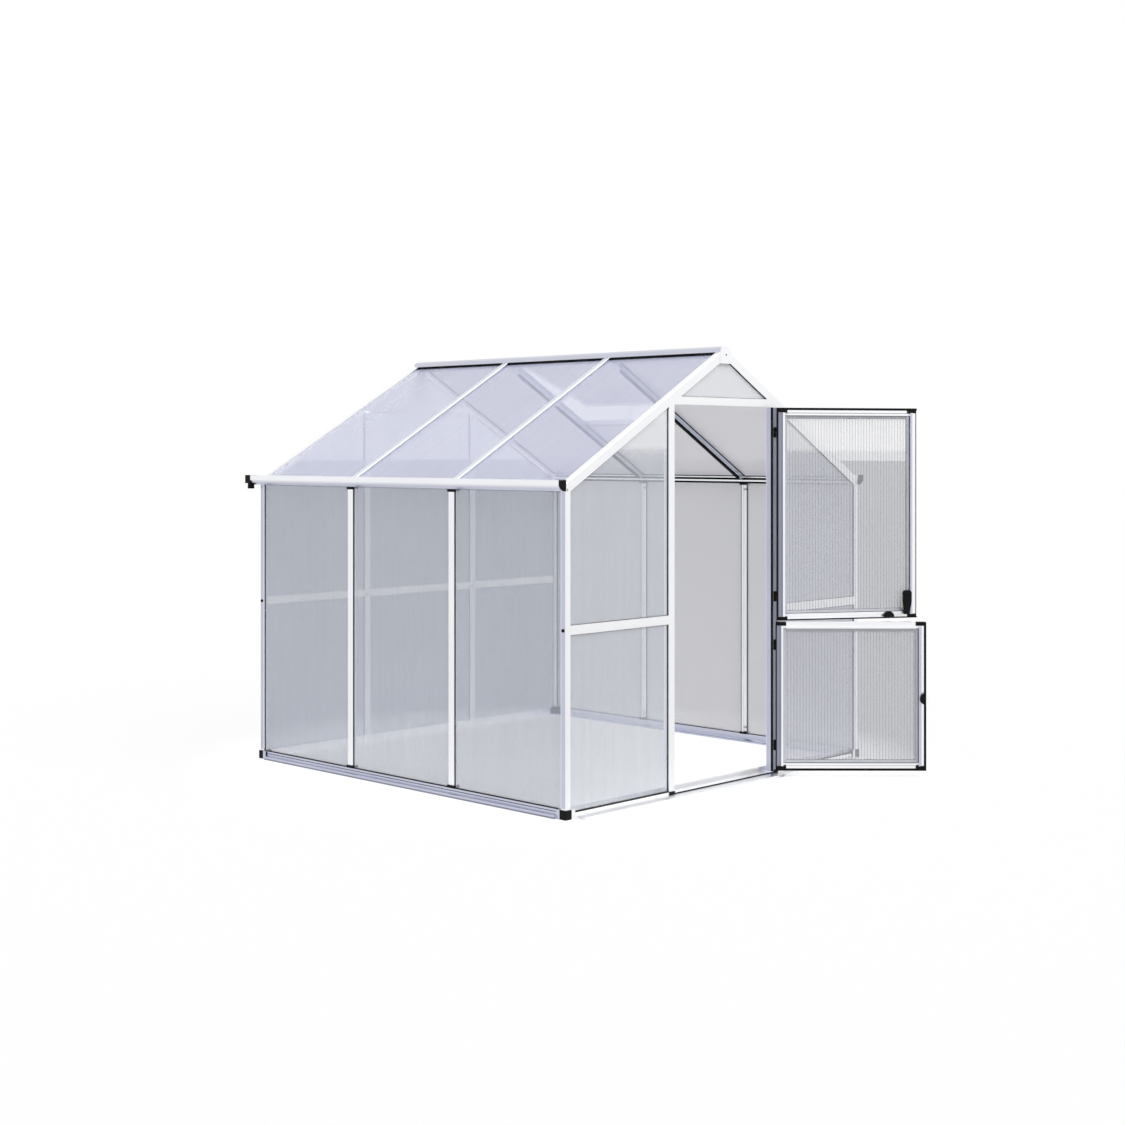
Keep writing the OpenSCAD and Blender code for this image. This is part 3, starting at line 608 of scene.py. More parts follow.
@dataclass(frozen=True)
class TwinWallSkin:
    """Clear twin-wall sheet with a faint lilac tint that paints the sky's reflection, seen against
    its own ribs.
    """

    pale: Colour
    deep: Colour
    alpha: Span
    relief: float = 0.0
    # The under colour, its axis and alpha paint light and shade on faces seen from below or from
    # inside.
    under: Colour | None = None
    painted_side_axis: str = "Z"
    painted_side_alpha: float = 0.0
    gloss: Span = (0.22, 0.28)
    sparkle: float = 0.10
    # Painted light: the height span, colour and alpha of a paler top on the sheet.
    crown_z: Span | None = None
    crown: Colour = (0.87, 0.88, 0.91)
    painted_light_alpha: float = 0.57
    let_by: float = 0.12
    line: float = 0.0
    line_from: float = 0.9
    line_alpha: float = 0.16
    line_colour: Colour = (0.36, 0.365, 0.40)
    pitch: float = 0.012

    def make(self, patterns: Patterns, title: str, run: Run) -> Material:
        """Builds the material for sheets whose ribs stand one way.

        Args:
            patterns: The shared patterns.
            title: Name of the material.
            run: Direction across the ribs.

        Returns:
            The material.
        """
        finish = Finish(title, run)
        kit = finish.kit
        flutes = patterns.flutes.use(kit, finish.place, Pitch=self.pitch)
        film = patterns.cloud.use(kit, finish.place, Size=2.2)["Patches"]
        veil = kit.math("ADD", kit.math("MULTIPLY", flutes["Sparkle"], self.sparkle),
                        kit.math("MULTIPLY", flutes["Bands"], 1.0 - self.sparkle))
        colour = kit.between(film, self.pale, self.deep)
        alpha = kit.span(veil, *self.alpha)
        # Painted light and shade: faces seen from the minus side of the axis take their own colour
        # and alpha, darker under the left slope, paler inside the right wall and slope.
        if self.under:
            normal = kit.add("ShaderNodeNewGeometry").outputs["Normal"]
            painted_side_mask = kit.math("LESS_THAN", kit.axes(normal)[self.painted_side_axis], 0.0)
            colour = kit.between(painted_side_mask, colour, self.under)
            alpha = kit.math("MAXIMUM", alpha, kit.math("MULTIPLY", painted_side_mask, self.painted_side_alpha))
        # Painted light: above the height span the sheet turns paler and denser; on the front and
        # door sheets it paints the brighter reflection above the horizon.
        if self.crown_z:
            top = kit.rise(finish.height, self.crown_z)
            colour = kit.between(top, colour, self.crown)
            alpha = kit.math("MAXIMUM", alpha, kit.math("MULTIPLY", top, self.painted_light_alpha))
        if self.line > 0.0:
            crest = kit.math("GREATER_THAN", flutes["Wave"], self.line_from)
            mask = kit.math("MULTIPLY", crest, self.line)
            colour = kit.between(mask, colour, self.line_colour)
            alpha = kit.math("ADD", alpha, kit.math("MULTIPLY", mask, self.line_alpha))
        camera_ray = kit.add("ShaderNodeLightPath").outputs["Is Camera Ray"]
        kit.feed(
            finish.shader,
            Base_Color=colour,
            Roughness=kit.span(flutes["Sparkle"], *self.gloss),
            IOR=1.58,
            Alpha=kit.math("MULTIPLY", alpha, kit.span(camera_ray, self.let_by, 1.0)),
        )
        finish.bump(flutes["Wave"], distance=0.0006, strength=self.relief)
        return finish.material


DOOR_PITCH = 0.0130
WALL_RIB = TwinWallSkin((0.55, 0.60, 0.72), (0.46, 0.50, 0.62), (0.012, 0.024))
ROOF_RIB = TwinWallSkin((0.82, 0.84, 0.94), (0.74, 0.77, 0.90), (0.02, 0.04))
DOOR_RIB = TwinWallSkin((0.28, 0.29, 0.32), (0.20, 0.21, 0.24), (0.20, 0.26))
# The skins below are copies of one sheet, lighter or darker by place: painted light and shade.
LEFT_SKIN = TwinWallSkin((0.68, 0.715, 0.81), (0.62, 0.655, 0.745), (0.38, 0.44), 0.06)
RIGHT_SKIN = replace(LEFT_SKIN, under=(0.95, 0.94, 0.97), painted_side_axis="X", painted_side_alpha=0.57)
FRONT_SKIN = TwinWallSkin((0.61, 0.635, 0.70), (0.55, 0.575, 0.64), (0.31, 0.37), 0.06,
                          crown_z=(1.36, 1.41))
BACK_SKIN = TwinWallSkin((0.58, 0.63, 0.75), (0.50, 0.55, 0.66), (0.20, 0.30), 0.10,
                         crown_z=(1.58, 1.62))
LEFT_ROOF_SKIN = TwinWallSkin((0.645, 0.665, 0.87), (0.605, 0.625, 0.83), (0.40, 0.42), 0.02,
                              under=(0.56, 0.56, 0.59))
RIGHT_ROOF_SKIN = TwinWallSkin((0.665, 0.685, 0.88), (0.625, 0.645, 0.84), (0.42, 0.44), 0.02,
                               under=(0.85, 0.84, 0.88), painted_side_alpha=0.68)
DOOR_SKIN = TwinWallSkin((0.65, 0.655, 0.70), (0.61, 0.615, 0.66), (0.26, 0.30), 0.10,
                         crown_z=(1.375, 1.395), crown=(0.95, 0.95, 0.97), painted_light_alpha=0.0,
                         pitch=DOOR_PITCH, line=0.6)


@dataclass(frozen=True)
class SheetKind:
    """Spacing and thickness of a sheet's ribs, and the finishes of its skin and ribs."""

    pitch: float
    skin: TwinWallSkin
    rib: TwinWallSkin
    rib_t: float = 0.0005


class Glass(Enum):
    """Places of the sheets; each has its own copy of the skin, whose colour and alpha paint the
    light and shade at that place.
    """

    LEFT = SheetKind(0.0125, LEFT_SKIN, WALL_RIB)
    RIGHT = SheetKind(0.0126, RIGHT_SKIN, WALL_RIB)
    FRONT = SheetKind(0.0127, FRONT_SKIN, WALL_RIB)
    BACK = SheetKind(0.0128, BACK_SKIN, WALL_RIB)
    LEFT_ROOF = SheetKind(0.0124, LEFT_ROOF_SKIN, ROOF_RIB)
    RIGHT_ROOF = SheetKind(0.0123, RIGHT_ROOF_SKIN, ROOF_RIB)
    DOOR = SheetKind(DOOR_PITCH, DOOR_SKIN, DOOR_RIB, rib_t=0.0013)

    @property
    def title(self) -> str:
        """The place in plain words."""
        return self.name.lower().replace("_", " ")


@dataclass(frozen=True)
class MouldedBlack:
    """Moulded nylon or rubber with a fine grain, mostly black."""

    name: str
    pale: Colour
    deep: Colour
    rough: Span
    fineness: float
    gloss: float

    def make(self, patterns: Patterns) -> Material:
        """Builds the material.

        Args:
            patterns: The shared patterns.

        Returns:
            The material.
        """
        finish = Finish(self.name)
        kit = finish.kit
        grain = patterns.grain.use(kit, finish.place, Fineness=self.fineness)["Grain"]
        film = patterns.cloud.use(kit, finish.place, Size=18.0)["Patches"]
        kit.feed(
            finish.shader,
            Base_Color=kit.between(film, self.deep, self.pale),
            Roughness=kit.span(film, *self.rough),
            Specular_IOR_Level=self.gloss,
        )
        finish.bump(grain, distance=0.0002, strength=0.25)
        return finish.material


@dataclass(frozen=True)
class ZincScrew:
    """Bright zinc of screws and bolts."""

    pale: Colour = (0.74, 0.75, 0.77)
    deep: Colour = (0.50, 0.51, 0.54)
    rough: Span = (0.28, 0.5)

    def make(self, patterns: Patterns) -> Material:
        """Builds the material.

        Args:
            patterns: The shared patterns.

        Returns:
            The material.
        """
        finish = Finish("zinc screw")
        kit = finish.kit
        film = patterns.cloud.use(kit, finish.place, Size=60.0)["Patches"]
        kit.feed(
            finish.shader,
            Base_Color=kit.between(film, self.pale, self.deep),
            Metallic=1.0,
            Roughness=kit.span(film, *self.rough),
        )
        return finish.material


NYLON = MouldedBlack(
    "black nylon", (0.006, 0.006, 0.007), (0.003, 0.003, 0.004), (0.36, 0.6), 900.0, 0.12)
SEAL = MouldedBlack(
    "black seal", (0.008, 0.008, 0.009), (0.004, 0.004, 0.005), (0.6, 0.85), 1500.0, 0.10)
GREY_STRIP = MouldedBlack(
    "grey glazing strip", (0.60, 0.61, 0.65), (0.53, 0.54, 0.58), (0.4, 0.6), 900.0, 0.3)


class Palette:
    """Every finish of the house, each material made once."""

    def __init__(self) -> None:
        """Builds the patterns and the plain finishes."""
        self.patterns = Patterns()
        plain = (NYLON, SEAL, GREY_STRIP, ZincScrew())
        made = [finish.make(self.patterns) for finish in plain]
        self.plastic, self.rubber, self.trim, self.zinc = made
        self._made: dict[str, Material] = {}

    def _once(self, name: str, run: Run, finish: MillAluminium | TwinWallSkin) -> Material:
        """Makes a directed material the first time it is asked for.

        Args:
            name: Name of the finish.
            run: Direction of the pattern.
            finish: The finish.

        Returns:
            The material.
        """
        title = f"{name} {run.name.lower()}"
        if title not in self._made:
            self._made[title] = finish.make(self.patterns, title, run)
        return self._made[title]

    def metal(self, metal: Metal, run: Run) -> Material:
        """Aluminium for bars that run one way."""
        return self._once(metal.value.name, run, metal.value)

    def skin(self, glass: Glass, run: Run) -> Material:
        """Sheet skin with ribs across one way."""
        return self._once(f"{glass.title} sheet skin", run, glass.value.skin)

    def rib(self, glass: Glass, run: Run) -> Material:
        """Sheet rib, for ribs across one way."""
        return self._once(f"{glass.title} sheet rib", run, glass.value.rib)


def dress(node: str, material: Material) -> None:
    """Gives a CAD node a finish.

    Args:
        node: Name of the node.
        material: Material for all of it.
    """
    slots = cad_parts[node].data.materials
    slots.clear()
    slots.append(material)
    log.info("dressed %s with %s", node, material.name)


def show(name: str, data: bpy.types.ID) -> bpy.types.Object:
    """Puts a mesh, lamp or camera into the scene.

    Args:
        name: Name of the object.
        data: What it shows.

    Returns:
        The object.
    """
    thing = bpy.data.objects.new(name, data)
    bpy.context.scene.collection.objects.link(thing)
    return thing


def to_mesh(bm: Shape, name: str) -> bpy.types.Mesh:
    """Turns a bmesh into a mesh and frees it.

    Args:
        bm: Shape to turn.
        name: Name of the mesh.

    Returns:
        The mesh.
    """
    mesh = bpy.data.meshes.new(name)
    bm.to_mesh(mesh)
    bm.free()
    return mesh


def settle(bm: Shape, name: str, material: Material, body: Body) -> bpy.types.Object:
    """Turns a bmesh into a finished piece that rides a body.

    Args:
        bm: Shape in the house's frame; it is freed.
        name: Name of the piece.
        material: Its material.
        body: Body that it rides on.

    Returns:
        The piece's object.
    """
    mesh = to_mesh(bm, name)
    mesh.materials.append(material)
    piece = show(name, mesh)
    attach(piece, body.value)
    log.info("built %s with %d faces", name, len(mesh.polygons))
    return piece


def join(target: Shape, part: Shape) -> None:
    """Adds a bmesh to another and frees it.

    Args:
        target: Shape that grows.
        part: Shape to add.
    """
    mesh = to_mesh(part, "part")
    target.from_mesh(mesh)
    bpy.data.meshes.remove(mesh)


def move(bm: Shape, place: Matrix) -> None:
    """Moves a whole shape."""
    bmesh.ops.transform(bm, matrix=place, verts=bm.verts)


def cut(bm: Shape, at: Vector, way: Vector, **clear: bool) -> None:
    """Cuts a whole shape at a plane."""
    geom = bm.verts[:] + bm.edges[:] + bm.faces[:]
    bmesh.ops.bisect_plane(bm, geom=geom, plane_co=at, plane_no=way, **clear)


def thicken(bm: Shape, faces: list[bmesh.types.BMFace], by: Vector) -> None:
    """Extrudes flat faces into a solid.

    Args:
        bm: Shape with the faces.
        faces: Faces to extrude.
        by: Direction and length of the way.
    """
    grown = bmesh.ops.extrude_face_region(bm, geom=faces, use_keep_orig=True)["geom"]
    moved = [v for v in grown if isinstance(v, bmesh.types.BMVert)]
    bmesh.ops.translate(bm, verts=moved, vec=by)


def bevel(bm: Shape, edges: list[bmesh.types.BMEdge], width: float, segments: int) -> None:
    """Rounds edges in a number of steps."""
    bmesh.ops.bevel(
        bm, geom=edges, offset=width, offset_type="OFFSET", segments=segments, profile=0.5,
        affect="EDGES", clamp_overlap=True, material=-1,
    )


def soften(bm: Shape, width: float, segments: int, least: float = math.radians(35.0)) -> None:
    """Rounds the sharp outer edges of a shape.

    Args:
        bm: Shape to change.
        width: Width of the rounding in metres.
        segments: Steps of the rounding.
        least: Smallest angle that counts as an edge.
    """
    sharp = [e for e in bm.edges if e.is_manifold and e.calc_face_angle_signed() > least]
    bevel(bm, sharp, width, segments)
    for face in bm.faces:
        face.smooth = False


def merged_copy(node: str) -> Shape:
    """Copies a CAD node's mesh with its loose triangles joined and its flats made whole.

    Args:
        node: Name of the node.

    Returns:
        The copy.
    """
    bm = bmesh.new()
    bm.from_mesh(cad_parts[node].data)
    bmesh.ops.remove_doubles(bm, verts=bm.verts, dist=1e-5)
    flat = math.radians(0.5)
    bmesh.ops.dissolve_limit(bm, angle_limit=flat, verts=bm.verts, edges=bm.edges)
    return bm


def ring(outline: Outline, out: Vector, width: float, depth: float) -> Shape:
    """Makes a strip that runs round inside an outline.

    Args:
        outline: Corners of the opening, in one plane.
        out: Direction in which the strip stands up.
        width: Width of the strip.
        depth: Height of the strip.

    Returns:
        The strip as a closed shape.
    """
    bm = bmesh.new()
    middle = bm.faces.new([bm.verts.new(corner) for corner in outline])
    bm.normal_update()
    rim = bmesh.ops.inset_region(
        bm, faces=[middle], thickness=width, use_even_offset=True, use_boundary=True)
    bmesh.ops.delete(bm, geom=[middle], context="FACES_ONLY")
    thicken(bm, rim["faces"], out * depth)
    bmesh.ops.recalc_face_normals(bm, faces=bm.faces)
    return bm


def block(x: Span, y: Span, z: Span) -> Shape:
    """Makes a square block.

    Args:
        x: Where it starts and ends across the house, in either order.
        y: The same along the house.
        z: The same in height.

    Returns:
        The block.
    """
    low, high = (Vector([pick(pair) for pair in (x, y, z)]) for pick in (min, max))
    bm = bmesh.new()
    bmesh.ops.create_cube(bm, size=1.0)
    bmesh.ops.scale(bm, verts=bm.verts, vec=high - low)
    bmesh.ops.translate(bm, verts=bm.verts, vec=(low + high) / 2)
    return bm


def lay(bm: Shape, x: Span, y: Span, z: Span, edge: float = 0.0003, side: int = 1,
        place: Matrix | None = None) -> None:
    """Adds a square strip with softened edges to a shape.

    Args:
        bm: Shape that the strip joins.
        x: Where it starts and ends across the house, in either order.
        y: The same along the house.
        z: The same in height.
        edge: Width of the edges' rounding.
        side: -1 to lay it on the other side of the middle.
        place: Frame that the strip is laid in, if it isn't the shape's own.
    """
    strip = block((side * x[0], side * x[1]), y, z)
    bevel(strip, strip.edges[:], edge, 2)
    if place:
        move(strip, place)
        bmesh.ops.recalc_face_normals(strip, faces=strip.faces)
    join(bm, strip)


class Head(Enum):
    """Heads of fasteners: radius, height, number of sides, and share of the radius on top."""

    POST_BOLT = (0.0075, 0.0045, 16, 0.55)
    FRAME_BOLT = (0.0055, 0.0040, 6, 0.92)
    PLUG = (0.0038, 0.0026, 16, 0.55)
    SCREW = (0.0034, 0.0016, 16, 0.55)


HEAD_RIM, HEAD_RECESS = (0.3, 0.25), (0.18, -0.45)


def fasten(bm: Shape, at: Vector, out: Vector, head: Head) -> None:
    """Adds a screw or bolt head on a surface to a shape.

    Args:
        bm: Shape that the head joins.
        at: Middle of the head's seat.
        out: Direction out of the surface.
        head: Kind of head.
    """
    radius, height, sides, crown = head.value
    cone = bmesh.new()
    bmesh.ops.create_cone(
        cone, cap_ends=True, segments=sides, radius1=radius, radius2=radius * (crown + 1) / 2,
        depth=height, matrix=Matrix.Translation(Z * (height / 2)),
    )
    cone.normal_update()
    top = max(cone.faces, key=lambda face: face.calc_center_median().z)
    for width, depth in (HEAD_RIM, HEAD_RECESS):
        bmesh.ops.inset_region(cone, faces=[top], thickness=radius * width, depth=height * depth)
    move(cone, Matrix.Translation(at) @ out.to_track_quat("Z", "Y").to_matrix().to_4x4())
    join(bm, cone)


@dataclass
class MetalFrame:
    """The bars of the house and its leaves, with strips and sleeves laid on them, most of them
    painted shade.
    """

    palette: Palette
    bars: tuple[tuple[Metal, Run, str], ...] = (
        (Metal.MILL, Run.ALONG_X, "base_rail_front base_rail_back door_header front_mid_rails"),
        (Metal.MILL, Run.ALONG_X, "back_header back_mid_rails ridge_end_plates"),
        (Metal.MILL, Run.ALONG_Y, "eave_beams vent_trimmer vent_frame_ends"),
        (Metal.MILL, Run.ALONG_Z, "corner_posts side_wall_studs door_jambs back_posts"),
        (Metal.MILL, Run.ALONG_Z, "upper_leaf_stiles lower_leaf_stiles"),
        (Metal.MILL, Run.DOWN_SLOPE, "gable_rafters vent_frame_sides vent_stay"),
        (Metal.MILL, Run.UPPER_ACROSS, "upper_leaf_rails"),
        (Metal.MILL, Run.LOWER_ACROSS, "lower_leaf_rails"),
        (Metal.RIDGE, Run.ALONG_Y, "ridge_beam"),
        (Metal.ROOF, Run.DOWN_SLOPE, "roof_bars"),
        (Metal.GUTTER, Run.ALONG_Y, "gutters"),
        # The side base rails wear the metal with painted shade.
        (Metal.COOL, Run.ALONG_Y, "base_rails_side"),
    )
    strip_t: float = 0.0008
    strip_in: float = 0.003
    strip_w: float = 0.020
    post_foot: float = 0.006
    reveal_y: Span = (0.002, 0.036)
    cap_show: float = 0.027
    sleeve_foot: float = 0.001
    foot_z: Span = (0.0005, 0.0065)
    jamb_x: Span = (0.0005, 0.022)
    stile_gap: float = 0.001
    stile_edge: float = 0.0005

    def dress(self) -> None:
        """Gives every bar its aluminium, drawn along its own length."""
        for metal, run, nodes in self.bars:
            for node in nodes.split():
                dress(node, self.palette.metal(metal, run))

    def _post_strips(self) -> Shape:
        """Makes the strips that paint shade on the corner posts' sides and in the door's reveals.

        Returns:
            The strips in the house's frame.
        """
        bm = bmesh.new()
        post_x = shift(HOUSE.half_w, (0.0, self.strip_t))
        jamb_x = shift(HOUSE.jamb_in, (0.0, -self.strip_t))
        z = (HOUSE.base_h + self.post_foot, HOUSE.beam_under - HOUSE.strip_head)
        for side in SIDES:
            for y in (self.strip_in, HOUSE.length - self.strip_in - self.strip_w):
                lay(bm, post_x, (y, y + self.strip_w), z, side=side)
            lay(bm, jamb_x, self.reveal_y, HOUSE.doorway, side=side)
        return bm

    def _sleeves(self, along_side: bool) -> Shape:
        """Makes the sleeves that lap the base rails over the corner caps' arms.

        Args:
            along_side: Whether these are the side rails' sleeves, or the end rails'.

        Returns:
            The sleeves in the house's frame.
        """
        bm = bmesh.new()
        out, top = -HOUSE.corner_proud - self.strip_t, HOUSE.base_h + self.strip_t
        faces = (((out, -HOUSE.corner_proud), (self.sleeve_foot, top)),
                 ((out, HOUSE.cap_t), (HOUSE.base_h, top)))
        reach = (self.cap_show, HOUSE.corner_reach)
        for side in SIDES:
            for end in SIDES:
                for depth, z in faces:
                    in_x, in_y = (depth, reach) if along_side else (reach, depth)
                    x = (HOUSE.half_w - in_x[0], HOUSE.half_w - in_x[1])
                    y = in_y if end < 0 else (HOUSE.length - in_y[0], HOUSE.length - in_y[1])
                    lay(bm, x, y, z, edge=0.0002, side=side)
        return bm

    def _foot_strips(self) -> Shape:
        """Makes the shaded strips along the side base rails' lower edges.

        Returns:
            The strips in the house's frame.
        """
        bm = bmesh.new()
        x = shift(HOUSE.half_w + HOUSE.ledge_d, (0.0, self.strip_t))
        for side in SIDES:
            lay(bm, x, HOUSE.along(HOUSE.corner_reach), self.foot_z, side=side)
        return bm

    def _stile_strips(self, leaf: LeafSizes) -> None:
        """Lays strips of painted shade on the inner face of a leaf's hinge stile and on its free
        stile's bead.

        Args:
            leaf: The leaf.
        """
        hinge_x = (leaf.half - leaf.bead_in, leaf.half - self.stile_edge)
        free_x = shift(-leaf.half, (leaf.bead_in, leaf.bead_out))
        for name, metal, x, seat in (("hinge", Metal.SHADED, hinge_x, leaf.recess),
                                     ("free", Metal.COOL, free_x, leaf.thick)):
            bm = bmesh.new()
            z = leaf.heights(leaf.corner_h + self.stile_gap)
            lay(bm, x, (seat, seat + self.strip_t), z, place=leaf.place())
            settle(bm, f"{leaf.name}_{name}_stile_strip", self.palette.metal(metal, Run.ALONG_Z),
                   leaf.body)

    def build(self) -> None:
        """Lays the painted-shade strips and the sleeves on the bars."""
        jamb = bmesh.new()
        # Painted shade: a dark strip on the hinge jamb's front face.
        lay(jamb, shift(HOUSE.jamb_in, self.jamb_x), (-self.strip_t, 0.0), HOUSE.doorway)
        # Every piece below except the end rail sleeves is painted shade.
        for bm, name, metal, run in (
            (self._post_strips(), "post_side_strips", Metal.COOL, Run.ALONG_Z),
            (self._sleeves(True), "side_rail_sleeves", Metal.COOL, Run.ALONG_Y),
            (self._sleeves(False), "end_rail_sleeves", Metal.MILL, Run.ALONG_X),
            (self._foot_strips(), "side_rail_foot_strips", Metal.SHADED, Run.ALONG_Y),
            (jamb, "hinge_jamb_strip", Metal.SHADED, Run.ALONG_Z),
        ):
            settle(bm, name, self.palette.metal(metal, run), Body.HOUSE)
        for leaf in LEAVES:
            self._stile_strips(leaf)


@dataclass
class SheetSet:
    """The sheets of one plane of the house, with the ribs inside them."""

    palette: Palette
    node: str
    body: Body
    glass: Glass
    run: Run
    across: Vector
    along: Vector
    inside: float = 0.74
    crest: float = 0.25

    def dress(self) -> None:
        """Gives the sheets their skin."""
        dress(self.node, self.palette.skin(self.glass, self.run))

    def build(self) -> None:
        """Cuts the sheets into slices at the ribs' pitch and makes each slice a rib."""
        pitch, rib_t = self.glass.value.pitch, self.glass.value.rib_t
        rows = (self.across, self.along, self.across.cross(self.along))
        sheet_frame = Matrix(rows).transposed().to_4x4()
        slab = merged_copy(self.node)
        move(slab, sheet_frame.inverted())
        middle = sum(v.co.z for v in slab.verts) / len(slab.verts)
        for v in slab.verts:
            v.co.z = middle + (v.co.z - middle) * self.inside
        low, high = (pick(v.co.x for v in slab.verts) for pick in (min, max))
        ribs = bmesh.new()
        for i in range(math.ceil(low / pitch), math.floor(high / pitch)):
            rib = slab.copy()
            at = X * ((i + self.crest) * pitch - rib_t / 2)
            cut(rib, at, X, clear_inner=True, clear_outer=True)
            bmesh.ops.edgeloop_fill(rib, edges=rib.edges)
            thicken(rib, rib.faces[:], X * rib_t)
            join(ribs, rib)
        slab.free()
        move(ribs, sheet_frame)
        bmesh.ops.recalc_face_normals(ribs, faces=ribs.faces)
        material = self.palette.rib(self.glass, self.run)
        settle(ribs, f"{self.node}_ribs", material, self.body)


@dataclass
class Glazing:
    """All the sheets of the house and its door."""

    palette: Palette

    def sets(self) -> list[SheetSet]:
        """Lists the sheets by the plane that they lie in.

        Returns:
            One set for each CAD node of sheets.
        """
        planes = [
            ("left_wall_panels", Body.HOUSE, Glass.LEFT, Run.ALONG_Y, Y, Z),
            ("right_wall_panels", Body.HOUSE, Glass.RIGHT, Run.ALONG_Y, Y, Z),
            ("front_gable_panels", Body.HOUSE, Glass.FRONT, Run.ALONG_X, X, Z),
            ("back_gable_panels", Body.HOUSE, Glass.BACK, Run.ALONG_X, X, Z),
        ]
        for name, glass, slope in (("left_roof_panels", Glass.LEFT_ROOF, HOUSE.slope(-1)),
                                   ("right_roof_panels", Glass.RIGHT_ROOF, HOUSE.slope(1)),
                                   ("vent_panel", Glass.RIGHT_ROOF, HOUSE.vent())):
            planes.append((name, Body.HOUSE, glass, Run.ALONG_Y, Y, slope.to_3x3() @ X))
        for leaf, run in zip(LEAVES, (Run.UPPER_ACROSS, Run.LOWER_ACROSS)):
            across = leaf.place().to_3x3() @ X
            planes.append((f"{leaf.name}_panel", leaf.body, Glass.DOOR, run, across, Z))
        return [SheetSet(self.palette, *plane) for plane in planes]

    def build(self) -> None:
        """Dresses every sheet and puts in its ribs."""
        for sheets in self.sets():
            sheets.dress()
            sheets.build()


@dataclass
class Gaskets:
    """Strips that hold the sheets in their bars, outside and inside, and dark strips along the
    bars, some of them painted shade.
    """

    palette: Palette
    width: float = 0.0015
    outer_h: float = 0.0036
    inner_w: float = 0.0020
    inner_h: float = 0.0042
    lift: float = 0.0001
    ridge_gap: float = 0.005
    ridge_line: Span = (-0.002, 0.006)
    eave_x: Span = (0.0018, -0.0008)
    eave_z: tuple[Span, Span] = ((-0.0025, 0.0060), (0.0140, 0.0240))
    eave_gap: float = 0.03
    reveal_x: Span = (0.0, -0.0015)
    reveal_y: Span = (0.0010, 0.0120)
    foot_x: Span = (-0.002, -HOUSE.sheet_q)
    foot_z: Span = (-0.001, 0.0035)
    rail_x: Span = (-0.0005, 0.0006)
    rail_z: Span = (0.0255, 0.0280)
    rail_gap: float = 0.048
    front_y: Span = (-0.0006, 0.0010)
    front_z: Span = (-0.0035, 0.0004)
    bar_s: Span = (0.085, 1.050)
    bar_y: Span = (-0.0055, 0.0055)
    bar_z: Span = (-0.0110, 0.0015)
    jamb_x: Span = (0.022, 0.030)
    jamb_y: Span = (-0.0010, 0.0005)
    sill_gap: float = 0.001
    sill_y: Span = (-0.003, 0.001)
    lip_t: float = 0.0015
    lip_in: float = 0.0055
    lip_out: float = 0.0045
    hinge_lip_in: float = 0.0005
    meeting_z: Span = (-0.001, 0.0045)
    bead_line: float = 0.0020
    bead_line_h: float = 0.0012

    def _outer(self, bm: Shape, outline: Outline, inward: Vector) -> None:
        """Lays a strip on a sheet's outer face, inside a sight line of the bars."""
        seat = [corner + inward * (HOUSE.sheet_q - self.lift) for corner in outline]
        join(bm, ring(seat, -inward, self.width, self.outer_h))

    def _inner(self, bm: Shape, outline: Outline, inward: Vector) -> None:
        """Lays a strip on a sheet's inner face, inside a sight line of the bars."""
        depth = HOUSE.sheet_q + HOUSE.sheet_t + self.lift
        join(bm, ring([corner + inward * depth for corner in outline], inward, self.inner_w,
                      self.inner_h))

    def _walls(self, bm: Shape) -> None:
        """Lays the strips of both side walls, inside too on the right.

        Args:
            bm: Shape that the strips join.
        """
        for side in SIDES:
            for i in range(HOUSE.bays):
                corners = quad(HOUSE.bay_span(i), (HOUSE.base_h, HOUSE.beam_under))
                outline = [Vector((side * HOUSE.half_w, y, z)) for y, z in corners]
                self._outer(bm, outline, X * -side)
                if side == 1:
                    self._inner(bm, outline, X * -side)

    def _roof(self, bm: Shape) -> None:
        """Lays the strips below the ridge, and inside the right slope's sheets.

        Args:
            bm: Shape that the strips join.
        """
        end = HOUSE.half_w / math.cos(HOUSE.pitch) - HOUSE.beam_d
        ridge = HOUSE.ridge_half / math.cos(HOUSE.pitch) + self.ridge_gap
        for side in SIDES:
            slope = HOUSE.slope(side)
            for i in range(HOUSE.bays):
                vented = side == 1 and i == HOUSE.bays // 2
                start = HOUSE.trimmer_end if vented else ridge
                y = HOUSE.bay_span(i)
                if side == 1:
                    outline = [slope @ Vector((*corner, 0.0)) for corner in quad((start, end), y)]
                    self._inner(bm, outline, slope.to_3x3() @ -Z)
                if not vented:
                    lay(bm, shift(start, self.ridge_line), y, (-HOUSE.sheet_q, -self.lift),
                        edge=0.001, place=slope)

    @staticmethod
    def _gable_outlines(front: bool) -> list[list[Span]]:
        """Lists the sight lines of a gable's sheets.

        Args:
            front: Whether this is the front gable, with the doorway.

        Returns:
            Corners of each opening as (x, z).
        """
        edge = HOUSE.jamb_out if front else HOUSE.post_x + HOUSE.bar_half
        out = HOUSE.half_w - HOUSE.post_lip
        low = HOUSE.front_lip_h if front else HOUSE.base_h
        under, over = HOUSE.rail_z - HOUSE.rail_half, HOUSE.rail_z + HOUSE.rail_half
        head = HOUSE.header_z + HOUSE.header_h
        at_edge, at_out, peak = (HOUSE.roof_z(x, -HOUSE.rafter_face) for x in (edge, out, 0.0))
        outlines = []
        for side in SIDES:
            outlines.append(quad((side * edge, side * out), (low, under)))
            outlines.append([(side * edge, over), (side * out, over), (side * out, at_out),
                             (side * edge, at_edge)])
        reach = (peak - head) / math.tan(HOUSE.pitch)
        outlines.append([(-reach, head), (reach, head), (0.0, peak)])
        if not front:
            inner = HOUSE.post_x - HOUSE.bar_half
            outlines += [quad((-inner, inner), z) for z in ((low, under), (over, HOUSE.header_z))]
        return outlines

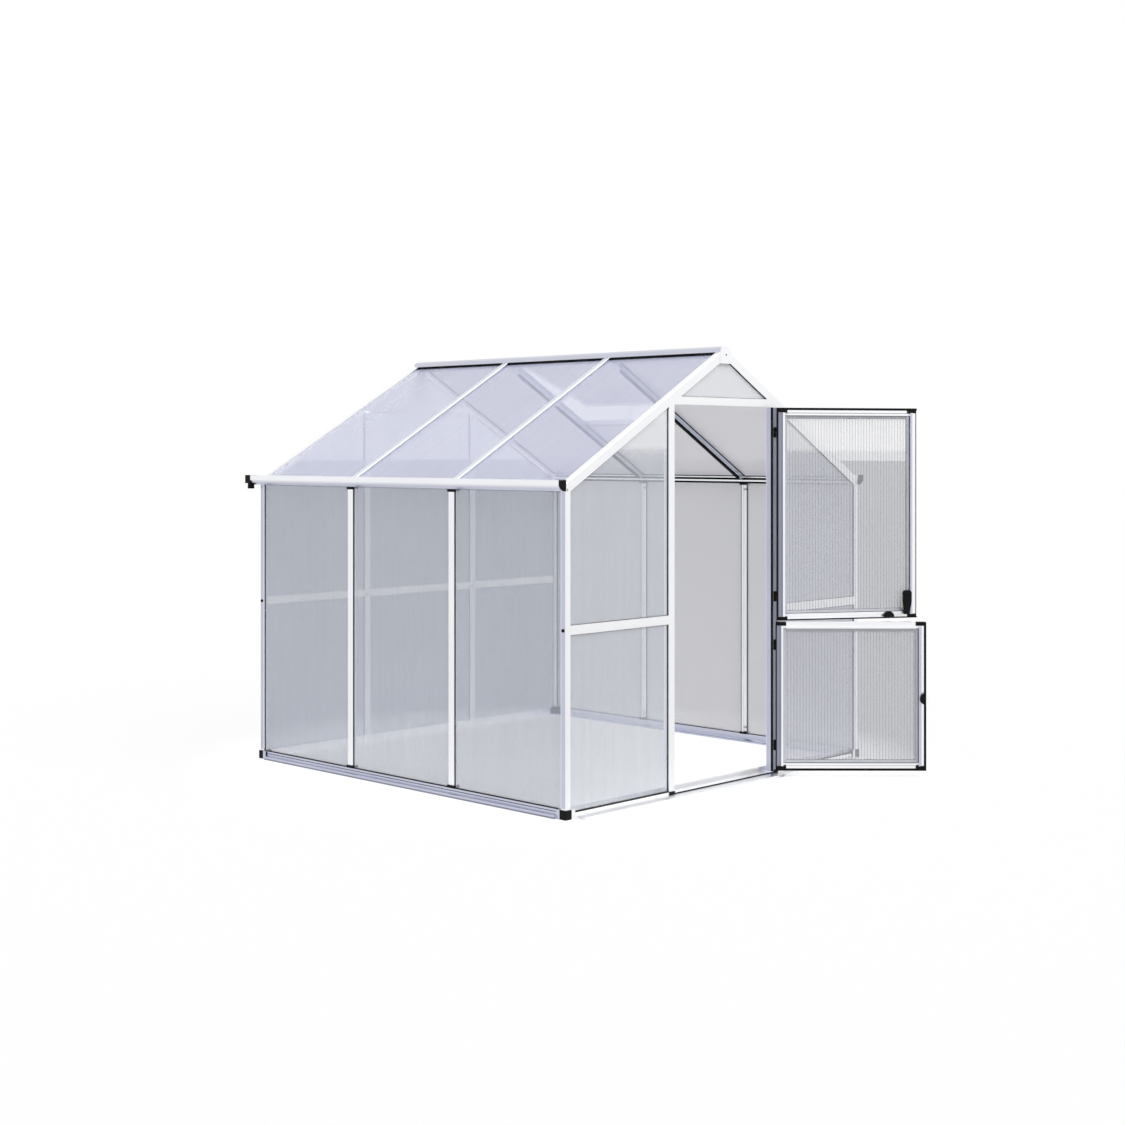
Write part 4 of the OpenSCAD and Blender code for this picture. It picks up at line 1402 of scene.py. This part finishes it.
    def _gable(self, bm: Shape, front: bool) -> None:
        """Lays the strips of the front or the back gable."""
        y, inward = (0.0, Y) if front else (HOUSE.length, -Y)
        for outline in self._gable_outlines(front):
            self._outer(bm, [Vector((x, y, z)) for x, z in outline], inward)

    def _edge_lines(self, bm: Shape) -> None:
        """Lays the strips on eave beams, reveals, rails, roof bars, hinge jamb and sill.

        Args:
            bm: Shape that the strips join.
        """
        beam_x = shift(HOUSE.half_w - HOUSE.beam_d, self.eave_x)
        front_x = (HOUSE.jamb_out, HOUSE.half_w - HOUSE.corner_reach)
        for side in SIDES:
            for z in self.eave_z:
                lay(bm, beam_x, HOUSE.along(self.eave_gap), shift(HOUSE.beam_under, z),
                    edge=0.0004, side=side)
            # Painted shade: a black strip in each door reveal, where the reveal stands in shade.
            lay(bm, shift(HOUSE.jamb_in, self.reveal_x), self.reveal_y, HOUSE.doorway,
                edge=0.0005, side=side)
            lay(bm, shift(HOUSE.half_w, self.foot_x), HOUSE.along(HOUSE.corner_reach),
                shift(HOUSE.base_h, self.foot_z), edge=0.0006, side=side)
            lay(bm, shift(HOUSE.half_w, self.rail_x), HOUSE.along(self.rail_gap), self.rail_z,
                side=side)
            lay(bm, front_x, self.front_y, shift(HOUSE.front_lip_h, self.front_z), side=side)
        # Painted shade: black strips under the right slope's bars, where their ribs' lower ends
        # stand in shade.
        under = shift(-HOUSE.core_q - HOUSE.rib_d, self.bar_z)
        for y in HOUSE.studs:
            lay(bm, self.bar_s, shift(y, self.bar_y), under, edge=0.0012, place=HOUSE.slope(1))
        lay(bm, shift(HOUSE.jamb_in, self.jamb_x), self.jamb_y, HOUSE.doorway, edge=0.0004)
        reach = HOUSE.jamb_in - self.sill_gap
        lay(bm, (-reach, reach), self.sill_y, (HOUSE.sill_t, HOUSE.doorway[0]), edge=0.001)

    def _leaf_lips(self, bm: Shape, leaf: LeafSizes) -> None:
        """Lays the wiper lips along a leaf's seals, on its inner face.

        Args:
            bm: Shape that the lips join, in the closed leaf's frame.
            leaf: The leaf.
        """
        y = shift(leaf.recess, (-self.lift, self.lip_t))
        z = (leaf.z0, leaf.z1)
        far = leaf.half + self.lip_out
        for side in leaf.sealed_sides:
            near = leaf.half - (self.hinge_lip_in if side > 0 else self.lip_in)
            lay(bm, (near, far), y, z, edge=0.0005, side=side)
        end, way = (leaf.z1, 1) if leaf.seal_on_top else (leaf.z0, -1)
        lay(bm, (-far, far), y, (end - way * self.lip_in, end + way * self.lip_out), edge=0.0005)
        if leaf.seal_on_top:
            lay(bm, shift(-leaf.half, (-self.lip_t, self.lip_t)), y, z, edge=0.0005)
            lay(bm, (-far, leaf.half), y, shift(leaf.z0, self.meeting_z), edge=0.0004)

    def _bead_lines(self, bm: Shape, leaf: LeafSizes) -> None:
        """Lays the dark lines on both sides of a leaf's bead, on its inner face; they paint the
        shadow at the bead's steps.

        Args:
            bm: Shape that the lines join, in the closed leaf's frame.
            leaf: The leaf.
        """
        outline = leaf.inset(leaf.bead_out, leaf.flange - self.lift)
        join(bm, ring(outline, Y, self.bead_line, self.bead_line_h))
        y = shift(leaf.recess, (-self.lift, self.bead_line_h))
        line = (leaf.bead_in - self.bead_line, leaf.bead_in)
        lay(bm, shift(-leaf.half, line), y, leaf.heights(leaf.corner_h))
        x = leaf.half - leaf.bead_in
        end, way = (leaf.z1, -1) if leaf.seal_on_top else (leaf.z0, 1)
        lay(bm, (-x, x), y, (end + way * line[0], end + way * line[1]))

    def build(self) -> None:
        """Makes the house's strips two pieces, and each leaf's two more."""
        house, back = bmesh.new(), bmesh.new()
        self._walls(house)
        self._roof(house)
        self._gable(house, front=True)
        self._edge_lines(house)
        self._gable(back, front=False)
        settle(house, "glazing_gaskets", self.palette.rubber, Body.HOUSE)
        settle(back, "back_glazing_strips", self.palette.trim, Body.HOUSE)
        for leaf in LEAVES:
            seals = bmesh.new()
            self._outer(seals, leaf.inset(leaf.bar, 0.0), Y)
            self._leaf_lips(seals, leaf)
            self._bead_lines(seals, leaf)
            start = leaf.bead_out + self.bead_line
            outline = leaf.inset(start, leaf.flange - self.lift)
            strips = ring(outline, Y, leaf.bar - start, self.bead_line_h)
            for bm, name, material in ((seals, "gaskets", self.palette.rubber),
                                       (strips, "glazing_strips", self.palette.trim)):
                move(bm, leaf.place())
                settle(bm, f"{leaf.name}_{name}", material, leaf.body)


@dataclass
class BlackFittings:
    """Moulded caps, corner blocks, hinges and seals, with softened edges."""

    palette: Palette
    softened: tuple[tuple[str, Body, float], ...] = (
        ("base_corner_caps", Body.HOUSE, 0.0020),
        ("post_end_caps", Body.HOUSE, 0.0012),
        ("gutter_end_caps", Body.HOUSE, 0.0015),
        ("jamb_hinges", Body.HOUSE, 0.0008),
        ("upper_leaf_corners", Body.UPPER, 0.0016),
        ("upper_leaf_hinges", Body.UPPER, 0.0008),
        ("lower_leaf_corners", Body.LOWER, 0.0016),
        ("lower_leaf_latch", Body.LOWER, 0.0020),
        ("lower_leaf_hinges", Body.LOWER, 0.0008),
    )
    cap_d: float = 0.0155
    cap_h: float = 0.010
    cap_half: float = 0.0175

    def build(self) -> None:
        """Replaces each plain cap by one with rounded edges, and dresses the seals."""
        for node, body, width in self.softened:
            bm = merged_copy(node)
            soften(bm, width, segments=2)
            piece = settle(bm, f"{node}_moulded", self.palette.plastic, body)
            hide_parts(node)
        for leaf in LEAVES:
            dress(f"{leaf.name}_seals", self.palette.rubber)
        caps = self._inner_caps()
        settle(caps, "stud_inner_caps", self.palette.plastic, Body.HOUSE)

    def _inner_caps(self) -> Shape:
        """Makes the caps that close the studs' inner flanges at head and foot.

        Returns:
            The caps in the house's frame.
        """
        bm = bmesh.new()
        x = shift(HOUSE.half_w - HOUSE.core_q, (0.0, -self.cap_d))
        for side in SIDES:
            for y in HOUSE.studs:
                for z in (HOUSE.base_h, HOUSE.beam_under - self.cap_h):
                    lay(bm, x, (y - self.cap_half, y + self.cap_half), (z, z + self.cap_h),
                        edge=0.0012, side=side)
        return bm


@dataclass
class DoorFurniture:
    """The lever and the turn button on the upper leaf."""

    palette: Palette
    lever_x: float = 0.050
    lever_l: float = 0.104
    lever_w: float = 0.040
    lever_t: float = 0.012
    straight: float = 0.48
    neck: float = 0.44
    round_r: float = 0.012
    foot_t: float = 0.008
    foot_w: float = 0.025
    foot_l: float = 0.022
    foot_lap: float = 0.003
    grips: int = 4
    grip_from: float = 0.66
    grip_step: float = 0.065
    grip_reach: float = 0.34
    grip_y: Span = (-0.001, 0.0016)
    grip_h: float = 0.0030
    button_x: float = 0.130
    button_z: float = 0.006
    button_r: float = 0.024
    button_t: float = 0.010
    button_sides: int = 40
    lift: float = 0.0001

    def _lever(self) -> Shape:
        """Makes the paddle-shaped lever on its foot.

        Returns:
            The lever about its own foot.
        """
        half, face_y = self.lever_w / 2, self.foot_t + self.lever_t
        bm = block((-half, half), (self.foot_t, face_y), (0.0, self.lever_l))
        cut(bm, Z * (self.lever_l * self.straight), Z)
        for v in bm.verts:
            if v.co.z < self.lift:
                v.co.x *= self.neck
        turns = [e for e in bm.edges if e.verts[0].co.z > self.lift and
                 abs(e.verts[0].co.y - e.verts[1].co.y) > self.lever_t / 2]
        bevel(bm, turns, self.round_r, segments=5)
        soften(bm, width=0.0025, segments=3)
        reach = self.lever_w * self.grip_reach
        for i in range(self.grips):
            z = self.lever_l * (self.grip_from + self.grip_step * i)
            lay(bm, (-reach, reach), shift(face_y, self.grip_y), (z, z + self.grip_h), edge=0.0009)
        foot = self.foot_w / 2
        lay(bm, (-foot, foot), (0.0, self.foot_t + self.foot_lap), (0.0, self.foot_l), edge=0.0025)
        return bm

    def _button(self) -> Shape:
        """Makes the half-round turn button.

        Returns:
            The button about its own foot.
        """
        bm = bmesh.new()
        seat = Matrix.Translation(Z * (-self.button_t / 2))
        bmesh.ops.create_cone(
            bm, cap_ends=True, segments=self.button_sides, radius1=self.button_r,
            radius2=self.button_r, depth=self.button_t,
            matrix=Matrix.Rotation(math.pi / 2, 4, "X") @ seat,
        )
        cut(bm, Vector(), Z, clear_inner=True)
        bmesh.ops.holes_fill(bm, edges=[e for e in bm.edges if e.is_boundary])
        bmesh.ops.recalc_face_normals(bm, faces=bm.faces)
        soften(bm, width=0.0022, segments=3)
        return bm

    def build(self) -> None:
        """Puts both on the upper leaf's inner face in place of the plain solids."""
        leaf = UPPER_LEAF
        both = bmesh.new()
        for bm, x, z in ((self._lever(), self.lever_x, leaf.corner_h),
                         (self._button(), self.button_x, self.button_z)):
            move(bm, Matrix.Translation((x - leaf.half, leaf.thick, leaf.z0 + z)))
            join(both, bm)
        move(both, leaf.place())
        piece = settle(both, "upper_leaf_lever_and_button", self.palette.plastic, Body.UPPER)
        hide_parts("upper_leaf_handle")


@dataclass
class Fasteners:
    """Bolts of the frame and screws of the hinges and caps."""

    palette: Palette
    post_y: float = 0.013
    pair_half: float = 0.010
    stud_gap: float = 0.032
    back_gap: float = 0.030
    bar_s: Span = (0.075, 1.02)
    plate_edge: float = 0.008
    plate_top: float = 0.0075
    gutter_x: float = 0.014
    gutter_z: float = 0.030
    cap_t: float = 0.004
    hinge_reach: Span = (0.012, 0.020)
    hinge_z: float = 0.0115
    leaf_gap: float = 0.002
    jamb_gap: float = 0.003

    def _frame_bolts(self) -> Shape:
        """Makes the black domed bolts through the corner posts, at the mid rails' height.

        Returns:
            The bolts in the house's frame.
        """
        bm = bmesh.new()
        for side in SIDES:
            for y in HOUSE.along(self.post_y):
                at = Vector((side * HOUSE.half_w, y, HOUSE.rail_z))
                fasten(bm, at, X * side, Head.POST_BOLT)
        return bm

    def _inner_bolts(self) -> Shape:
        """Makes the pairs of zinc bolts on the inner flanges of studs, bars and back posts.

        Returns:
            The bolts in the house's frame.
        """
        pairs = []
        stud_ends = (HOUSE.base_h + self.stud_gap, HOUSE.beam_under - self.stud_gap)
        back_z = (HOUSE.base_h + self.back_gap, HOUSE.rail_z, HOUSE.header_z - self.back_gap)
        for side in SIDES:
            slope = HOUSE.slope(side)
            wall_x = side * (HOUSE.half_w - HOUSE.core_q)
            for y in HOUSE.studs:
                pairs += [(Vector((wall_x, y, z)), X * -side, Y) for z in stud_ends]
                pairs += [(slope @ Vector((s, y, -HOUSE.core_q)), slope.to_3x3() @ -Z, Y)
                          for s in self.bar_s]
            pairs += [(Vector((side * HOUSE.post_x, HOUSE.length - HOUSE.core_q, z)), -Y, X)
                      for z in back_z]
        bm = bmesh.new()
        for at, out, way in pairs:
            for end in SIDES:
                fasten(bm, at + way * (end * self.pair_half), out, Head.FRAME_BOLT)
        return bm

    def _end_plugs(self) -> Shape:
        """Makes the black plugs in the ridge's end plates and the gutters' ends.

        Returns:
            The plugs in the house's frame.
        """
        bm = bmesh.new()
        low = HOUSE.roof_z(HOUSE.ridge_half + self.plate_edge, -HOUSE.rafter_face)
        middle = (HOUSE.apex_z + self.plate_top + low) / 2
        for y, out in ((0.0, -Y), (HOUSE.length, Y)):
            fasten(bm, Vector((0.0, y, middle)), out, Head.PLUG)
        for side in SIDES:
            x, z = side * (HOUSE.half_w + self.gutter_x), HOUSE.beam_under + self.gutter_z
            fasten(bm, Vector((x, -self.cap_t, z)), -Y, Head.SCREW)
        return bm

    def _hinge_screws(self, bm: Shape, leaf: LeafSizes, on_leaf: bool) -> None:
        """Puts the screws into the hinge plates of one leaf, or of the jamb beside it.

        Args:
            bm: Shape that the screws join, in the closed leaf's frame.
            leaf: Leaf whose hinges these are.
            on_leaf: Whether they are in the leaf's plates.
        """
        way = 1 if on_leaf else -1
        edge = leaf.half - self.leaf_gap if on_leaf else HOUSE.jamb_in + self.jamb_gap
        for z in leaf.heights(leaf.hinge_inset):
            for reach in self.hinge_reach:
                at = Vector((edge - way * reach, -self.cap_t, z + way * self.hinge_z))
                fasten(bm, at, -Y, Head.SCREW)

    def build(self) -> None:
        """Puts every bolt and screw on its body."""
        palette = self.palette
        settle(self._frame_bolts(), "post_bolts", palette.plastic, Body.HOUSE)
        settle(self._inner_bolts(), "frame_bolts", palette.zinc, Body.HOUSE)
        settle(self._end_plugs(), "end_plugs", palette.plastic, Body.HOUSE)
        jamb = bmesh.new()
        for leaf in LEAVES:
            self._hinge_screws(jamb, leaf, on_leaf=False)
            screws = bmesh.new()
            self._hinge_screws(screws, leaf, on_leaf=True)
            move(screws, leaf.place())
            settle(screws, f"{leaf.name}_hinge_screws", palette.zinc, leaf.body)
        settle(jamb, "jamb_hinge_screws", palette.zinc, Body.HOUSE)


@dataclass
class Studio:
    """Camera, light, white surroundings and the pale floor."""

    camera_at: Colour = (-5.6556, -4.5574, 1.3848)
    camera_turn: float = math.radians(-45.813)
    lens: float = 55.96
    sensor: float = 36.0
    shift_y: float = -0.0992
    sun_from: Colour = (0.0, -0.62, 0.78)
    sun_strength: float = 2.0
    sun_spread: float = math.radians(50.0)
    sky: Colour = (0.96, 0.975, 1.0)
    sky_strength: float = 0.45
    white: Colour = (1.0, 1.0, 1.0)
    cool_side: Colour = (0.92, 0.94, 0.985)
    see_through: int = 32
    floor_size: float = 400.0
    floor_near: float = 0.86
    floor_far: float = 0.57
    floor_lift: float = 0.30
    floor_white: float = 1.18
    floor_shade: float = 0.30
    floor_gloss: float = 0.55
    floor_rough: float = 0.9
    fade_r: Span = (1.30, 1.75)

    def camera(self) -> None:
        """Puts the camera where the photograph was taken from."""
        data = bpy.data.cameras.new("camera")
        data.lens, data.sensor_width, data.shift_y = self.lens, self.sensor, self.shift_y
        data.clip_end = 2.0 * self.floor_size
        camera = show("camera", data)
        camera.location = self.camera_at
        camera.rotation_euler = Euler((math.pi / 2, 0.0, self.camera_turn))
        bpy.context.scene.camera = camera

    def light(self) -> None:
        """Adds one broad soft key light from the front and above."""
        data = bpy.data.lights.new("key", "SUN")
        data.energy, data.angle = self.sun_strength, self.sun_spread
        key = show("key", data)
        key.rotation_euler = Vector(self.sun_from).to_track_quat("Z", "Y").to_euler()

    @staticmethod
    def _sharp(kit: NodeKit, path: bpy.types.NodeOutputs) -> Socket:
        """Gives 1 for glossy and transmission rays, else 0."""
        return kit.math("MAXIMUM", path["Is Glossy Ray"], path["Is Transmission Ray"])

    def surroundings(self) -> None:
        """Makes the world white where it is seen, and a soft plain light elsewhere."""
        world = bpy.data.worlds.new("surroundings")
        bpy.context.scene.world = world
        world.use_nodes = True
        nodes = world.node_tree.nodes
        kit = NodeKit(world.node_tree)
        plain = kit.feed(nodes["Background"], Color=self.sky, Strength=self.sky_strength)
        path = kit.add("ShaderNodeLightPath").outputs
        sideways = kit.axes(kit.add("ShaderNodeTexCoord").outputs["Generated"])["X"]
        leftward = kit.math("MAXIMUM", kit.math("MULTIPLY", sideways, -1.0), 0.0)
        cooled = kit.math("MULTIPLY", leftward, path["Is Glossy Ray"])
        white = kit.feed(kit.add("ShaderNodeBackground"), Strength=1.0,
                         Color=kit.between(cooled, self.white, self.cool_side))
        seen = kit.math("MAXIMUM", path["Is Camera Ray"], self._sharp(kit, path))
        kit.mix_shaders(seen, plain, white, nodes["World Output"])

    def _floor_finish(self) -> Material:
        """Makes the floor white to the eye but for a soft shadow.

        Returns:
            The material.
        """
        material = bpy.data.materials.new("pale floor")
        material.use_nodes = True
        nodes = material.node_tree.nodes
        kit = NodeKit(material.node_tree)
        place = kit.add("ShaderNodeTexCoord").outputs["Object"]
        away = kit.vector("DISTANCE", place, (0.0, HOUSE.length / 2, 0.0)).outputs["Value"]
        fade = kit.rise(away, self.fade_r)
        tone = kit.between(fade, (self.floor_near,) * 3, (self.floor_far,) * 3)
        ground = nodes["Principled BSDF"]
        kit.feed(ground, Base_Color=tone, Roughness=self.floor_rough)
        white = kit.feed(kit.add("ShaderNodeEmission"), Strength=self.floor_white)
        path = kit.add("ShaderNodeLightPath").outputs
        bare = kit.math("LESS_THAN", path["Transparent Depth"], 0.5)
        near = kit.span(fade, self.floor_lift, 0.0)
        seen = kit.math("MULTIPLY", path["Is Camera Ray"], kit.math("MAXIMUM", bare, near))
        direct = kit.math("MULTIPLY", seen, 1.0 - self.floor_shade)
        sharp = kit.math("MULTIPLY", self._sharp(kit, path), self.floor_gloss)
        kit.mix_shaders(kit.math("MAXIMUM", direct, sharp), ground, white, nodes["Material Output"])
        return material

    def floor(self) -> None:
        """Lays the pale floor."""
        bm = bmesh.new()
        bmesh.ops.create_grid(bm, x_segments=1, y_segments=1, size=self.floor_size / 2)
        mesh = to_mesh(bm, "floor")
        mesh.materials.append(self._floor_finish())
        show("floor", mesh)

    def build(self) -> None:
        """Sets up the whole studio."""
        scene = bpy.context.scene
        scene.view_settings.view_transform = "Standard"
        scene.cycles.transparent_max_bounces = self.see_through
        self.camera()
        self.light()
        self.surroundings()
        self.floor()
        log.info("built the studio")


def main() -> None:
    """Builds the studio, then the house from its frame to its screws."""
    Studio().build()
    palette = Palette()
    bars = MetalFrame(palette)
    bars.dress()
    bars.build()
    Glazing(palette).build()
    Gaskets(palette).build()
    BlackFittings(palette).build()
    DoorFurniture(palette).build()
    Fasteners(palette).build()


if __name__ == "__main__":
    main()
